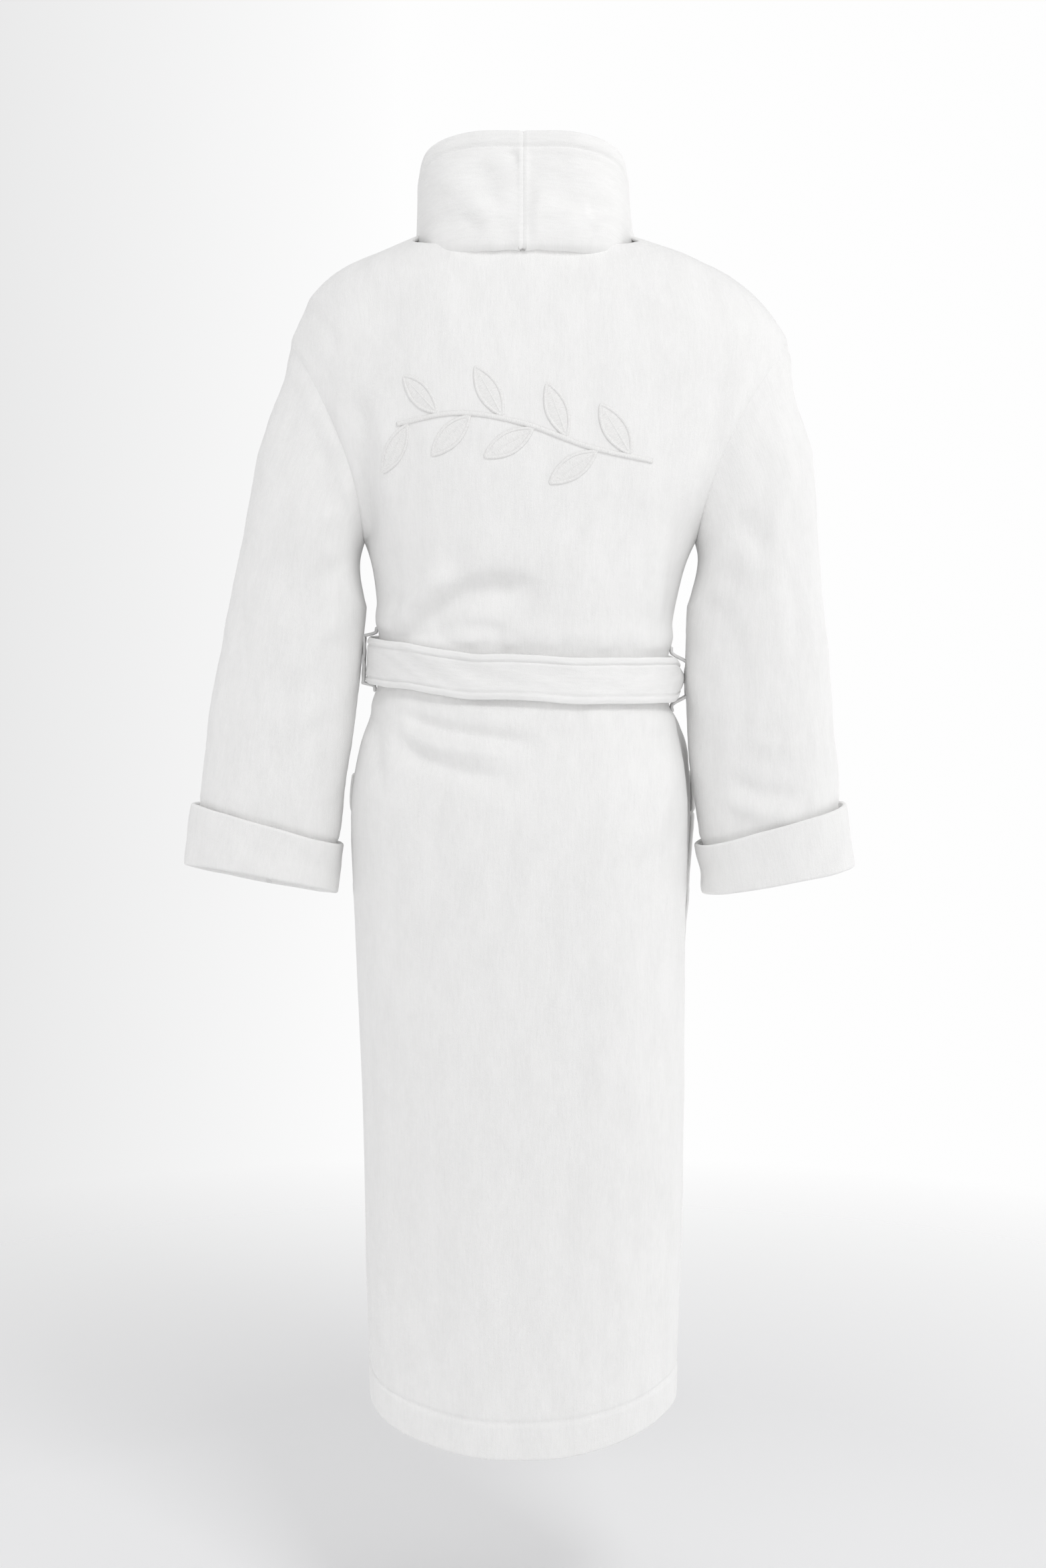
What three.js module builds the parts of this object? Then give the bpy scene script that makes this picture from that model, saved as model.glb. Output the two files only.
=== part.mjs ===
// A hotel bathrobe of velour terry, as it hangs on a wearer's shoulders with the collar turned up
// and the belt tied in front. Millimetres, +Z up. The wearer faces -Y, so +X is the wearer's left.
// The origin is the middle of the shoulder line, where the neck leaves the robe.
import * as THREE from 'three';
import { mergeVertices } from 'three/addons/utils/BufferGeometryUtils.js';

// ---------------------------------------------------------------- driving dimensions
const CLOTH = 5;              // velour terry with its pile
const GAP = 1;                // clearance between neighbouring layers
const SEAM_GAP = 0.5;         // clearance between pieces that are sewn edge to edge
const HEM_Z = -1205;          // lower edge of the skirt
const NECK_SIDE_Z = 12;       // neck seam where it crosses the shoulder line
const NECK_BACK_Z = -11;      // neck seam at the centre back
const BODY_POWER = 2.3;       // roundness of the body's sections (2 is an ellipse)
const SLEEVE_POWER = 2.2;

// The body's outer shape at stations down its length: height, half width, half depth, fore-aft centre.
const BODY = [
  [NECK_SIDE_Z, 96, 62, 8], [-22, 184, 76, 8], [-50, 222, 88, 8], [-84, 245, 101, 8],
  [-100, 252, 106, 8], [-200, 236, 122, 5], [-300, 170, 121, 2], [-360, 154, 112, 2],
  [-430, 149, 99, 0], [-465, 152, 103, 0], [-510, 166, 114, 0], [-570, 174, 124, 2], [-700, 172, 126, 2],
  [-900, 168, 124, 2], [-1050, 166, 121, 2], [HEM_Z, 162, 119, 2],
];
// The heights at which the cloth of the body has a row of corners.
const ROWS = [HEM_Z, -1050, -900, -760, -650, -570, -500, -465, -430, -400, -372, -345, -300,
  -265, -230, -200, -165, -130, -100, -75, -50, -22, NECK_SIDE_Z];

// The armhole runs from the underarm up and outwards to the shoulder tip, steeper at its foot.
const ARMHOLE = { tipX: 252, tipZ: -100, underX: 170, underZ: -300, halfDepth: 66, curve: 1.8 };
const ARM_MID_Z = (ARMHOLE.tipZ + ARMHOLE.underZ) / 2;
const ARM_HALF_Z = (ARMHOLE.tipZ - ARMHOLE.underZ) / 2;

// The sleeve's outer and inner edge lines, x and z from armhole to wrist, and its half depth.
const SLEEVE_OUTER = [[252, -100], [276, -182], [294, -296], [314, -434], [329, -556], [338, -634]];
const SLEEVE_INNER = [[170, -300], [164, -350], [166, -420], [174, -510], [186, -600], [197, -660]];
const SLEEVE_DEPTH = [66, 62, 58, 55, 52, 50];
const SLEEVE_CLEAR = 1.5;     // how far the sleeve stands off the armhole's edge
const CUFF_HEIGHT = 64;
const CUFF_CLOTH = 8;         // the cuff is the sleeve end turned back, two layers thick

const FRONT_OVERLAP = 60;     // how far each front runs past the centre line below the belt
const CROSSING_Z = -385;      // where the two front edges cross
const NECK_EDGE_X = 88;       // the front edge at the neck
const FRONT_LIFT = CLOTH + 3;         // the left front rides over the right one

const BELT = { width: 50, thick: 8, z: -434, rise: 6.5 / 157, hitch: 8 };
const BELT_CLEAR = 2;
const LOOP = { width: 12, thick: 3, height: 76, clear: 2.4 };
const KNOT = { halfWidth: 34, halfHeight: 29, halfDepth: 17 };
const TAIL = { length: 480, width: 50, thick: 7, splay: 38 };
const COLLAR_THICK = 10;      // two layers of terry
const COLLAR_BOW = 9;         // how far the lapel's middle stands off a flat sheet
const LAPEL_TOP = 96;         // the lapel's width on the chest
const LAPEL_END = 60;         // and at the belt
const POCKET = { innerX: 80, spread: 0.95, height: 190, topZ: -545, bulge: 14, cloth: 4 };
const HANGER = { half: 28, drop: 34, corner: 8, width: 8, thick: 2, y: 56, z: -9 };
const LABEL = { half: 30, top: -30, height: 38, thick: 0.8 };
const CARE = { half: 13, top: -640, height: 50, thick: 0.8 };

// ---------------------------------------------------------------- materials
const finish = (color, roughness) => new THREE.MeshStandardMaterial({ color, roughness, metalness: 0 });
const TERRY = finish(0xf1f0ee, 0.95);
const THREAD = finish(0xf6f5f3, 0.6);
const TAPE = finish(0xecebe8, 0.85);
const SATIN = finish(0xe6e5e2, 0.5);

const robe = new THREE.Group();

function add(name, geometry, material) {
  const mesh = new THREE.Mesh(geometry, material);
  mesh.name = name;
  robe.add(mesh);
  return mesh;
}

// ---------------------------------------------------------------- helpers
const lerp = THREE.MathUtils.lerp;
const smooth = (x, from, to) => THREE.MathUtils.smoothstep((x - from) / (to - from), 0, 1);
const signedPower = (x, p) => Math.sign(x) * Math.abs(x) ** p;
const vec = (x, y, z) => new THREE.Vector3(x, y, z);
const SIDES = [['left', 1], ['right', -1]];

// A value read off the body's stations by height, along a smooth curve through them.
function bodyValue(z, column) {
  const found = BODY.findIndex(row => row[0] <= z);
  const i = Math.max(1, found < 0 ? BODY.length - 1 : found);
  const at = k => BODY[THREE.MathUtils.clamp(k, 0, BODY.length - 1)];
  const [before, a, b, after] = [at(i - 2), at(i - 1), at(i), at(i + 1)];
  const span = b[0] - a[0];
  const t = (z - a[0]) / span;
  const rise = (p, q) => (q === p ? 0 : (q[column] - p[column]) / (q[0] - p[0]) * span);
  const [m, n] = [rise(before, b), rise(a, after)];
  return (2 * t ** 3 - 3 * t ** 2 + 1) * a[column] + (t ** 3 - 2 * t ** 2 + t) * m
    + (-2 * t ** 3 + 3 * t ** 2) * b[column] + (t ** 3 - t ** 2) * n;
}

// Half the armhole's depth at a height, 0 above and below it, and how far out its edge is.
const armDepth = z => ARMHOLE.halfDepth * Math.sqrt(Math.max(0, 1 - ((z - ARM_MID_Z) / ARM_HALF_Z) ** 2));
const inArmhole = z => z < ARMHOLE.tipZ && z > ARMHOLE.underZ;
function armEdgeX(z) {
  const t = THREE.MathUtils.clamp((z - ARMHOLE.underZ) / (2 * ARM_HALF_Z), 0, 1);
  return lerp(ARMHOLE.underX, ARMHOLE.tipX, t ** ARMHOLE.curve);
}

function bodySection(z) {
  const halfDepth = bodyValue(z, 2);
  // Beside the armhole the width is what makes the body's skin pass through the armhole's edge.
  const halfWidth = inArmhole(z)
    ? armEdgeX(z) / (1 - (armDepth(z) / halfDepth) ** BODY_POWER) ** (1 / BODY_POWER)
    : bodyValue(z, 1);
  return { halfWidth, halfDepth, centre: bodyValue(z, 3) };
}

// A point of the body's skin: angle 0 is the centre back, 90 degrees the wearer's left side.
function onBody(angle, z, out = 0) {
  const { halfWidth, halfDepth, centre } = bodySection(z);
  const at = vec(
    halfWidth * signedPower(Math.sin(angle), 2 / BODY_POWER),
    centre + halfDepth * signedPower(Math.cos(angle), 2 / BODY_POWER),
    z);
  if (out === 0) return at;
  const step = 0.01;
  const across = onBody(angle + step, z).sub(onBody(angle - step, z));
  const up = onBody(angle, z + 1).sub(onBody(angle, z - 1));
  return at.addScaledVector(up.cross(across).normalize(), out);
}

// The angle at which the skin reaches x at a height, on the front or on the back.
function angleAt(x, z, front) {
  const share = THREE.MathUtils.clamp(x / bodySection(z).halfWidth, -1, 1);
  const angle = Math.asin(signedPower(share, BODY_POWER / 2));
  return front ? Math.PI - angle : angle;
}

// The angle of the back panel's side edge: the side seam, or the armhole where there is one.
const sideAngle = z => (inArmhole(z) ? angleAt(armEdgeX(z), z, false) : Math.PI / 2);

// The body's x at an angle and height, without the sign of the side.
const bodyX = (angle, z) => bodySection(z).halfWidth * signedPower(Math.sin(angle), 2 / BODY_POWER);

// A closed piece of cloth: a box whose corners (u, v, w), from 0 to 1, are carried to place(u, v, w).
function cloth(across, along, place) {
  const box = new THREE.BoxGeometry(1, 1, 1, across, along, 1);
  const at = box.attributes.position;
  for (let i = 0; i < at.count; i++) {
    const p = place(at.getX(i) + 0.5, at.getY(i) + 0.5, at.getZ(i) + 0.5);
    at.setXYZ(i, p.x, p.y, p.z);
  }
  return facingOut(box);
}

// A closed tube of cloth: v runs along it, angle round it, and w is 0 on its inner face, 1 on its outer.
function tube(around, along, place) {
  const profile = [];
  for (let i = 0; i <= along; i++) profile.push(new THREE.Vector2(2, i / along));
  for (let i = along; i >= 0; i--) profile.push(new THREE.Vector2(1, i / along));
  profile.push(profile[0].clone());
  const ring = new THREE.LatheGeometry(profile, around);
  const at = ring.attributes.position;
  for (let i = 0; i < at.count; i++) {
    const [x, v, z] = [at.getX(i), at.getY(i), at.getZ(i)];
    const p = place(Math.atan2(z, x), v, Math.round(Math.hypot(x, z)) - 1);
    at.setXYZ(i, p.x, p.y, p.z);
  }
  return facingOut(ring);
}

// Merges the shared vertices, and turns the faces round where the mapping has mirrored them.
function facingOut(geometry) {
  geometry.deleteAttribute('normal');
  geometry.deleteAttribute('uv');
  const merged = mergeVertices(geometry, 1e-3);
  const at = merged.attributes.position;
  const index = merged.index;
  const [a, b, c] = [vec(0, 0, 0), vec(0, 0, 0), vec(0, 0, 0)];
  let volume = 0;
  for (let i = 0; i < index.count; i += 3) {
    [a, b, c].forEach((p, k) => p.fromBufferAttribute(at, index.getX(i + k)));
    volume += a.dot(b.cross(c));
  }
  for (let i = 0; i < index.count && volume < 0; i += 3) {
    const first = index.getX(i);
    index.setX(i, index.getX(i + 1));
    index.setX(i + 1, first);
  }
  return merged;
}

// ---------------------------------------------------------------- back panel
const rowHeight = v => ROWS[Math.round(v * (ROWS.length - 1))];

function backPanel() {
  return cloth(20, ROWS.length - 1, (u, v, w) => {
    const z = rowHeight(v);
    const share = 1 - 2 * u;
    const edge = sideAngle(z) - SEAM_GAP / bodySection(z).halfWidth;
    const atNeck = lerp(NECK_BACK_Z, NECK_SIDE_Z, share ** 2);
    return onBody(share * edge, z === NECK_SIDE_Z ? atNeck : z, (w - 1) * CLOTH);
  });
}
add('back_panel', backPanel(), TERRY);

// ---------------------------------------------------------------- fronts and pockets
// The front edge, x on its own side: down the neck, across the centre line, then straight down.
function frontEdgeX(z) {
  const neck = THREE.MathUtils.clamp((z - CROSSING_Z) / (NECK_SIDE_Z - CROSSING_Z), 0, 1) ** 0.8;
  return NECK_EDGE_X * neck - FRONT_OVERLAP * smooth(z, CROSSING_Z + 30, CROSSING_Z - 60);
}

// How far a front stands off the body's skin at x: the left one rises over the right one's edge.
function frontLift(side, x, z) {
  const underEdge = -frontEdgeX(z);
  return side > 0 ? FRONT_LIFT * smooth(x, underEdge + 70, underEdge + 30) : 0;
}

// A point on a front, x towards its own side seam from the centre line.
const onFront = (side, x, z, out) => onBody(side * angleAt(x, z, true), z, frontLift(side, x, z) + out);

function frontPanel(side) {
  return cloth(14, ROWS.length - 1, (u, v, w) => {
    const z = rowHeight(v);
    const seam = Math.PI - sideAngle(z) + SEAM_GAP / bodySection(z).halfWidth;
    const angle = lerp(seam, angleAt(frontEdgeX(z), z, true), u);
    return onBody(side * angle, z, frontLift(side, bodyX(angle, z), z) + (w - 1) * CLOTH);
  });
}

// Patch pocket: sewn down along its foot and sides, and standing away along its open top.
function pocket(side) {
  return cloth(9, 6, (u, v, w) => {
    const z = POCKET.topZ - POCKET.height * (1 - v);
    const angle = angleAt(POCKET.innerX, z, true) - u * POCKET.spread;
    const bulge = POCKET.bulge * Math.sin(Math.PI * u) ** 0.7 * Math.sin(Math.PI / 2 * v) ** 0.8;
    const lift = frontLift(side, bodyX(angle, z), z);
    return onBody(side * angle, z, lift + GAP + bulge + w * POCKET.cloth);
  });
}

for (const [name, side] of SIDES) {
  add(`${name}_front_panel`, frontPanel(side), TERRY);
  add(`${name}_pocket`, pocket(side), TERRY);
}

// ---------------------------------------------------------------- shawl collar
const STAND_SPANS = 2.6;      // the stand ends just behind the shoulder line
const LAPEL_ROWS = [-62, -130, -200, -270, -335];
const LAPEL_FOOT = -392;
const LAPEL_CLEAR = 26;       // the right lapel ends this far from the centre, beside the left one

// The collar's seam and free edge for one side, from the centre back to where the belt holds it.
// It stands behind the neck, opens out beside the throat and lies on the chest below it.
function collarLines(side) {
  const seam = [vec(0, 75, -8), vec(50, 66, -5), vec(88, 37, 5), vec(98, 4, 15),
    vec(97, -28, 14), vec(91, -62, -5)];
  const edge = [vec(0, 84, 96), vec(56, 77, 92), vec(92, 46, 72), vec(108, -6, 50),
    vec(116, -58, 30), vec(126, -92, 2)];
  const over = z => (side > 0 ? 13 * smooth(z, -280, -360) : 0);
  for (const z of [...LAPEL_ROWS, LAPEL_FOOT]) {
    const inner = Math.max(frontEdgeX(z) + 6, side > 0 ? -FRONT_OVERLAP : LAPEL_CLEAR);
    const share = (z - LAPEL_ROWS[0]) / (LAPEL_FOOT - LAPEL_ROWS[0]);
    const outer = inner + lerp(LAPEL_TOP, LAPEL_END, share);
    const proud = 20 * smooth(z, -150, -50);
    seam.push(onFront(side, inner, z, GAP + 2 + over(z) + proud / 2).setX(inner));
    edge.push(onFront(side, outer, z - 14, GAP + 2 + over(z) + proud).setX(outer));
  }
  return [seam, edge].map(points => new THREE.CatmullRomCurve3(points, false, 'centripetal'));
}

function collarPiece(side, from, to, across) {
  const [seam, edge] = collarLines(side);
  const at = (s, h) => seam.getPoint(s).lerp(edge.getPoint(s), h);
  const spans = seam.points.length - 1;
  return cloth(across, 4, (u, v, w) => {
    const s = lerp(from, to, u) / spans;
    const run = at(Math.min(1, s + 0.004), v).sub(at(Math.max(0, s - 0.004), v));
    if (s === 0) run.set(1, 0, 0);
    const outwards = run.cross(at(s, 1).sub(at(s, 0))).normalize();
    const bow = COLLAR_BOW * smooth(s * spans, STAND_SPANS, 6) * Math.sin(Math.PI * v);
    const p = at(s, v).addScaledVector(outwards, bow + w * COLLAR_THICK);
    return p.setX(side * (s === 0 ? SEAM_GAP / 2 : p.x));
  });
}

for (const [name, side] of SIDES) {
  const spans = collarLines(side)[0].points.length - 1;
  add(`${name}_collar`, collarPiece(side, 0, STAND_SPANS, 8), TERRY);
  add(`${name}_lapel`, collarPiece(side, STAND_SPANS + 0.02, spans, 20), TERRY);
}

// ---------------------------------------------------------------- sleeves and cuffs
const lineOf = points => new THREE.CatmullRomCurve3(points.map(([x, z]) => vec(x, 0, z)));
const OUTER_LINE = lineOf(SLEEVE_OUTER);
const INNER_LINE = lineOf(SLEEVE_INNER);

// A point of the sleeve: share of its length, angle round it with 0 outermost, and distance off its skin.
function onSleeve(along, angle, out) {
  const outer = OUTER_LINE.getPoint(along);
  const inner = INNER_LINE.getPoint(along);
  const half = outer.clone().sub(inner).multiplyScalar(0.5);
  const spans = SLEEVE_DEPTH.length - 1;
  const i = Math.min(spans - 1, Math.floor(along * spans));
  const depth = lerp(SLEEVE_DEPTH[i], SLEEVE_DEPTH[i + 1], along * spans - i);
  const grown = (half.length() + out) / half.length();
  const p = outer.add(inner).multiplyScalar(0.5);
  p.addScaledVector(half, grown * signedPower(Math.cos(angle), 2 / SLEEVE_POWER));
  p.y = lerp(bodySection(ARM_MID_Z).centre, 4, along)
    + (depth + out) * signedPower(Math.sin(angle), 2 / SLEEVE_POWER);
  // The first stretch follows the armhole's curve, which is steeper at its foot than a straight line.
  const straight = lerp(ARMHOLE.underX, ARMHOLE.tipX, (p.z - ARMHOLE.underZ) / (2 * ARM_HALF_Z));
  p.x += (armEdgeX(p.z) - straight) * Math.max(0, 1 - 4 * along) + SLEEVE_CLEAR;
  return p;
}

// The cuff begins within the sleeve's last span, the one that ends at the wrist.
const [ABOVE_WRIST, WRIST] = SLEEVE_OUTER.slice(-2);
const LAST_SPAN = Math.hypot(WRIST[0] - ABOVE_WRIST[0], WRIST[1] - ABOVE_WRIST[1]);
const CUFF_START = 1 - CUFF_HEIGHT / LAST_SPAN / (SLEEVE_OUTER.length - 1);

for (const [name, side] of SIDES) {
  const sleevePoint = (along, angle, out) => {
    const p = onSleeve(along, angle, out);
    return p.setX(side * p.x);
  };
  add(`${name}_sleeve`, tube(20, 11, (angle, v, w) =>
    sleevePoint(lerp(0.004, 0.985, v), angle, (w - 1) * CLOTH)), TERRY);
  add(`${name}_cuff`, tube(20, 2, (angle, v, w) =>
    sleevePoint(lerp(CUFF_START, 1, v), angle, GAP + w * CUFF_CLOTH)), TERRY);
}

// ---------------------------------------------------------------- belt, knot, tails and loops
// How far the belt's inner face stands off the body's skin: on the front it also clears the upper edge.
const beltOut = angle => BELT_CLEAR + (Math.cos(angle) < 0
  ? frontLift(1, bodyX(angle, BELT.z), BELT.z) : 0);

// The belt tilts, and is hitched up a little more at the wearer's left side.
const beltHeight = x => BELT.z + BELT.rise * x + BELT.hitch * smooth(x, 40, 150);

function onBelt(angle, up, out) {
  return onBody(angle, beltHeight(bodyX(angle, BELT.z)) + up, beltOut(angle) + out);
}
add('belt', tube(40, 2, (angle, v, w) => onBelt(angle, (v - 0.5) * BELT.width, w * BELT.thick)), TERRY);

const KNOT_Y = onBelt(Math.PI, 0, BELT.thick + GAP).y - KNOT.halfDepth;
function knot() {
  const ball = new THREE.SphereGeometry(1, 16, 10);
  ball.scale(KNOT.halfWidth, KNOT.halfDepth, KNOT.halfHeight);
  ball.translate(0, KNOT_Y, BELT.z);
  return facingOut(ball);
}
add('belt_knot', knot(), TERRY);

// A tail leaves the knot's underside, turns flat and hangs over the skirt, leaning a little outwards.
const TAIL_TOP = BELT.z - KNOT.halfHeight - GAP;
function tail(side) {
  return cloth(2, 12, (u, v, w) => {
    const x = 2 + TAIL.splay * (1 - v) + TAIL.width * lerp(0.72, 1, smooth(v, 1, 0.85)) * u;
    const wave = 3 * Math.sin(v * Math.PI * 3);
    return vec(side * x, KNOT_Y - 3 + wave - w * TAIL.thick, TAIL_TOP - TAIL.length * (1 - v));
  });
}

// A belt loop: a strip sewn to the side seam above and below the belt, and passing outside it.
function beltLoop(side) {
  return cloth(1, 8, (u, v, w) => {
    const up = (v - 0.5) * LOOP.height;
    const stand = smooth(Math.abs(up), LOOP.height / 2, BELT.width / 2 + 2);
    const out = lerp(GAP, BELT_CLEAR + BELT.thick + LOOP.clear, stand);
    const z = beltHeight(side * bodySection(BELT.z).halfWidth) + up;
    const p = onBody(side * Math.PI / 2, z, 0);
    return p.add(vec(side * (out + w * LOOP.thick), (0.5 - u) * LOOP.width, 0));
  });
}

for (const [name, side] of SIDES) {
  add(`${name}_belt_tail`, tail(side), TERRY);
  add(`${name}_belt_loop`, beltLoop(side), TERRY);
}

// ---------------------------------------------------------------- hanger loop, neck tape and labels
// The hanger loop is a U of flat tape below the neck seam, its inner foot a flat face.
function hangerLoop() {
  const outline = (half, drop, corner, path) => {
    path.moveTo(half, 0);
    path.lineTo(half, corner - drop);
    path.absarc(half - corner, corner - drop, corner, 0, -Math.PI / 2, true);
    path.absarc(corner - half, corner - drop, corner, -Math.PI / 2, -Math.PI, true);
    path.lineTo(-half, 0);
    return path;
  };
  const shape = outline(HANGER.half, HANGER.drop, HANGER.corner, new THREE.Shape());
  const inside = outline(HANGER.half - HANGER.thick, HANGER.drop - HANGER.thick,
    HANGER.corner - HANGER.thick, new THREE.Path()).getPoints(6);
  inside.reverse().forEach(p => shape.lineTo(p.x, p.y));
  const band = new THREE.ExtrudeGeometry(shape, { depth: HANGER.width, bevelEnabled: false, curveSegments: 6 });
  band.rotateX(Math.PI / 2);
  band.translate(0, HANGER.y + HANGER.width, HANGER.z);
  return facingOut(band);
}
add('hanging_loop', hangerLoop(), TAPE);

// A flat strip sewn inside the body: a thin box bent to the inner face of the cloth.
function innerStrip(across, middle, half, top, height, thick) {
  return cloth(across, 2, (u, v, w) => {
    const z = top(u) - height * (1 - v);
    const angle = middle + angleAt((u - 0.5) * 2 * half, z, false);
    return onBody(angle, z, -CLOTH - GAP + (w - 1) * thick);
  });
}
const neckTop = u => lerp(NECK_BACK_Z, NECK_SIDE_Z, ((u - 0.5) * 1.5) ** 2) - 2;
add('neck_tape', innerStrip(12, 0, 78, neckTop, 12, 1), TAPE);
add('neck_label', innerStrip(4, 0, LABEL.half, () => LABEL.top, LABEL.height, LABEL.thick), SATIN);

function careLabel() {
  return cloth(2, 2, (u, v, w) => {
    const p = onBody(Math.PI / 2, CARE.top - CARE.height * (1 - v));
    return p.add(vec(-CLOTH - 2 * GAP + (w - 1) * CARE.thick, (u - 0.5) * 2 * CARE.half, 0));
  });
}
add('care_label', careLabel(), SATIN);

// ---------------------------------------------------------------- embroidered sprig on the back
const STEM = new THREE.CatmullRomCurve3([vec(-120, 0, -222), vec(-62, 0, -208), vec(0, 0, -186),
  vec(62, 0, -176), vec(132, 0, -186)]);
const LEAF = { length: 52, width: 19, thick: 1.6, lean: 0.85, count: 8 };
const STEM_WIDTH = 4;
const STITCH_CLEAR = 0.5;

// A patch of satin stitch on the back: place gives x and z, and w lifts off the cloth.
function stitched(across, along, place) {
  return cloth(across, along, (u, v, w) => {
    const [x, z] = place(u, v);
    return onBody(angleAt(x, z, false), z, STITCH_CLEAR + w * LEAF.thick);
  });
}

add('embroidered_stem', stitched(1, 24, (u, v) => {
  const at = STEM.getPoint(v);
  const run = STEM.getTangent(v);
  const off = (u - 0.5) * STEM_WIDTH;
  return [at.x - run.z * off, at.z + run.x * off];
}), THREAD);

for (let i = 0; i < LEAF.count; i++) {
  const side = i % 2 ? -1 : 1;
  const foot = STEM.getPoint((i + 0.6) / LEAF.count);
  const run = STEM.getTangent((i + 0.6) / LEAF.count);
  const heading = Math.atan2(run.z, run.x) + side * LEAF.lean;
  const [dx, dz] = [Math.cos(heading), Math.sin(heading)];
  add(`embroidered_leaf_${i + 1}`, stitched(2, 8, (u, v) => {
    const far = 4.5 + v * LEAF.length;
    const off = (u - 0.5) * (0.8 + LEAF.width * Math.sin(Math.PI * v) ** 0.8);
    return [foot.x + dx * far - dz * off, foot.z + dz * far + dx * off];
  }), THREAD);
}

export default robe;
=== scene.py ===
# The looks of a velour terry bathrobe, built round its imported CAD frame. Seen from behind, collar up.
# Shapes are worked out in millimetres and put into Blender in metres.
import math

import bpy
import numpy as np
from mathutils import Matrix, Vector


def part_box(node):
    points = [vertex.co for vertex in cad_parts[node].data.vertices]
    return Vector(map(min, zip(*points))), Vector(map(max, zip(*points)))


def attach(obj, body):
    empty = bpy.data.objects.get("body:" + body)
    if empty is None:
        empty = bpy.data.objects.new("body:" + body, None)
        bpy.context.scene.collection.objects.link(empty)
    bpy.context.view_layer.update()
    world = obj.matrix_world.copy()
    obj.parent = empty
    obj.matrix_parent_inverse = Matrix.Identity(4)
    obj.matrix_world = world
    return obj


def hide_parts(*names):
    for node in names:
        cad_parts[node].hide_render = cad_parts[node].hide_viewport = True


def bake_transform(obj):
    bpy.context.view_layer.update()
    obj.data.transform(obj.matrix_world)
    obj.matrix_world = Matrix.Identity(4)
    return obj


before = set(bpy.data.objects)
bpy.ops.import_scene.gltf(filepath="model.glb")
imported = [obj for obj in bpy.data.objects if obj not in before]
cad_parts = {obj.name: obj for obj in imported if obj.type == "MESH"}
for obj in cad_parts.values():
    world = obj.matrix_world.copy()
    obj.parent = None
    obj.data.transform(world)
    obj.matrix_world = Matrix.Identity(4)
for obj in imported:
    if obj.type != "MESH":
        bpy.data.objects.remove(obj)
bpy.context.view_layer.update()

# -------- driving dimensions
MM = 0.001
CLOTH = 5.0
HEM_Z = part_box("back_panel")[0].z / MM
NECK_SIDE_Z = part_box("back_panel")[1].z / MM
NECK_BACK_Z = -11.0
BODY_POWER = 2.3
SLEEVE_POWER = 2.2
HEM_BAND = 36.0
SIDES = (("left", 1), ("right", -1))

# The body's outer shape: height, half width, half depth, fore-aft centre.
BODY = np.array([
    (HEM_Z, 162, 119, 2), (-1050, 166, 121, 2), (-900, 168, 124, 2), (-700, 172, 126, 2),
    (-570, 174, 124, 2), (-510, 166, 114, 0), (-465, 152, 103, 0), (-430, 149, 99, 0),
    (-360, 154, 112, 2), (-300, 170, 121, 2), (-200, 236, 122, 5), (-100, 252, 106, 8),
    (-84, 245, 101, 8), (-50, 222, 88, 8), (-22, 184, 76, 8), (NECK_SIDE_Z, 96, 62, 8),
], float)

ARM_TIP = (252.0, -100.0)
ARM_FOOT = (170.0, -300.0)
ARM_HALF_DEPTH = 66.0
ARM_CURVE = 1.8
ARM_MID_Z = (ARM_TIP[1] + ARM_FOOT[1]) / 2
ARM_HALF_Z = (ARM_TIP[1] - ARM_FOOT[1]) / 2

SLEEVE_OUTER = ((252, -100), (276, -182), (294, -296), (314, -434), (329, -556), (338, -634))
SLEEVE_INNER = ((170, -300), (164, -350), (166, -420), (174, -510), (186, -600), (197, -660))
SLEEVE_DEPTH = (66, 62, 58, 55, 52, 50)
CUFF_START = 1 - 64 / 78.5 / 5    # share of the sleeve's length at which the cuff begins
CUFF_TILT = {"left": 11.0, "right": 1.5}

FRONT_OVERLAP = 60.0
CROSSING_Z = -385.0
NECK_EDGE_X = 88.0
FRONT_LIFT = CLOTH + 3

BELT_Z = -434.0
BELT_RISE = 6.5 / 157
BELT_HITCH = 8.0
BELT_WIDTH = 50.0
BELT_THICK = 8.0
BELT_CLEAR = 2.0
LOOP_HEIGHT = 64.0
KNOT = (0.0, -134.0, BELT_Z)
KNOT_HALF = (34.0, 17.0, 29.0)
TAIL_LENGTH = 480.0
TAIL_TOP = BELT_Z - KNOT_HALF[2] - 1

COLLAR_THICK = 10.0
COLLAR_BOW = 9.0
STAND_SPANS = 2.6
LAPEL_ROWS = (-62, -130, -200, -270, -335, -392)
LAPEL_TOP = 96.0
LAPEL_END = 60.0
LAPEL_CLEAR = 26.0
POCKET_X = 80.0
POCKET_SPREAD = 0.95
POCKET_TOP = -545.0
POCKET_HEIGHT = 190.0

# How far the robe hangs to the side at each height: the shoulders sit a little to the wearer's right.
SWAY = ((-1210, 0), (-900, 0), (-700, 3), (-567, 4), (-498, 2.5), (-429, 0), (-360, -4), (-291, -7.5),
        (-222, -11), (-167, -13), (-125, -15.5), (-84, -16.5), (-50, -11), (-15, -7), (40, -2), (140, 0))


# -------- small maths
def smooth(x, low, high):
    """0 at low, 1 at high and a smooth step between; low may be the larger."""
    t = np.clip((np.asarray(x, float) - low) / (high - low), 0, 1)
    return t * t * (3 - 2 * t)


def bell(x, middle, width):
    return np.exp(-((np.asarray(x, float) - middle) / width) ** 2)


def lerp(a, b, t):
    return a + (b - a) * t


def signed_power(x, p):
    return np.sign(x) * np.abs(x) ** p


def unit(v):
    return v / np.maximum(np.linalg.norm(v, axis=-1, keepdims=True), 1e-9)


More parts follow.
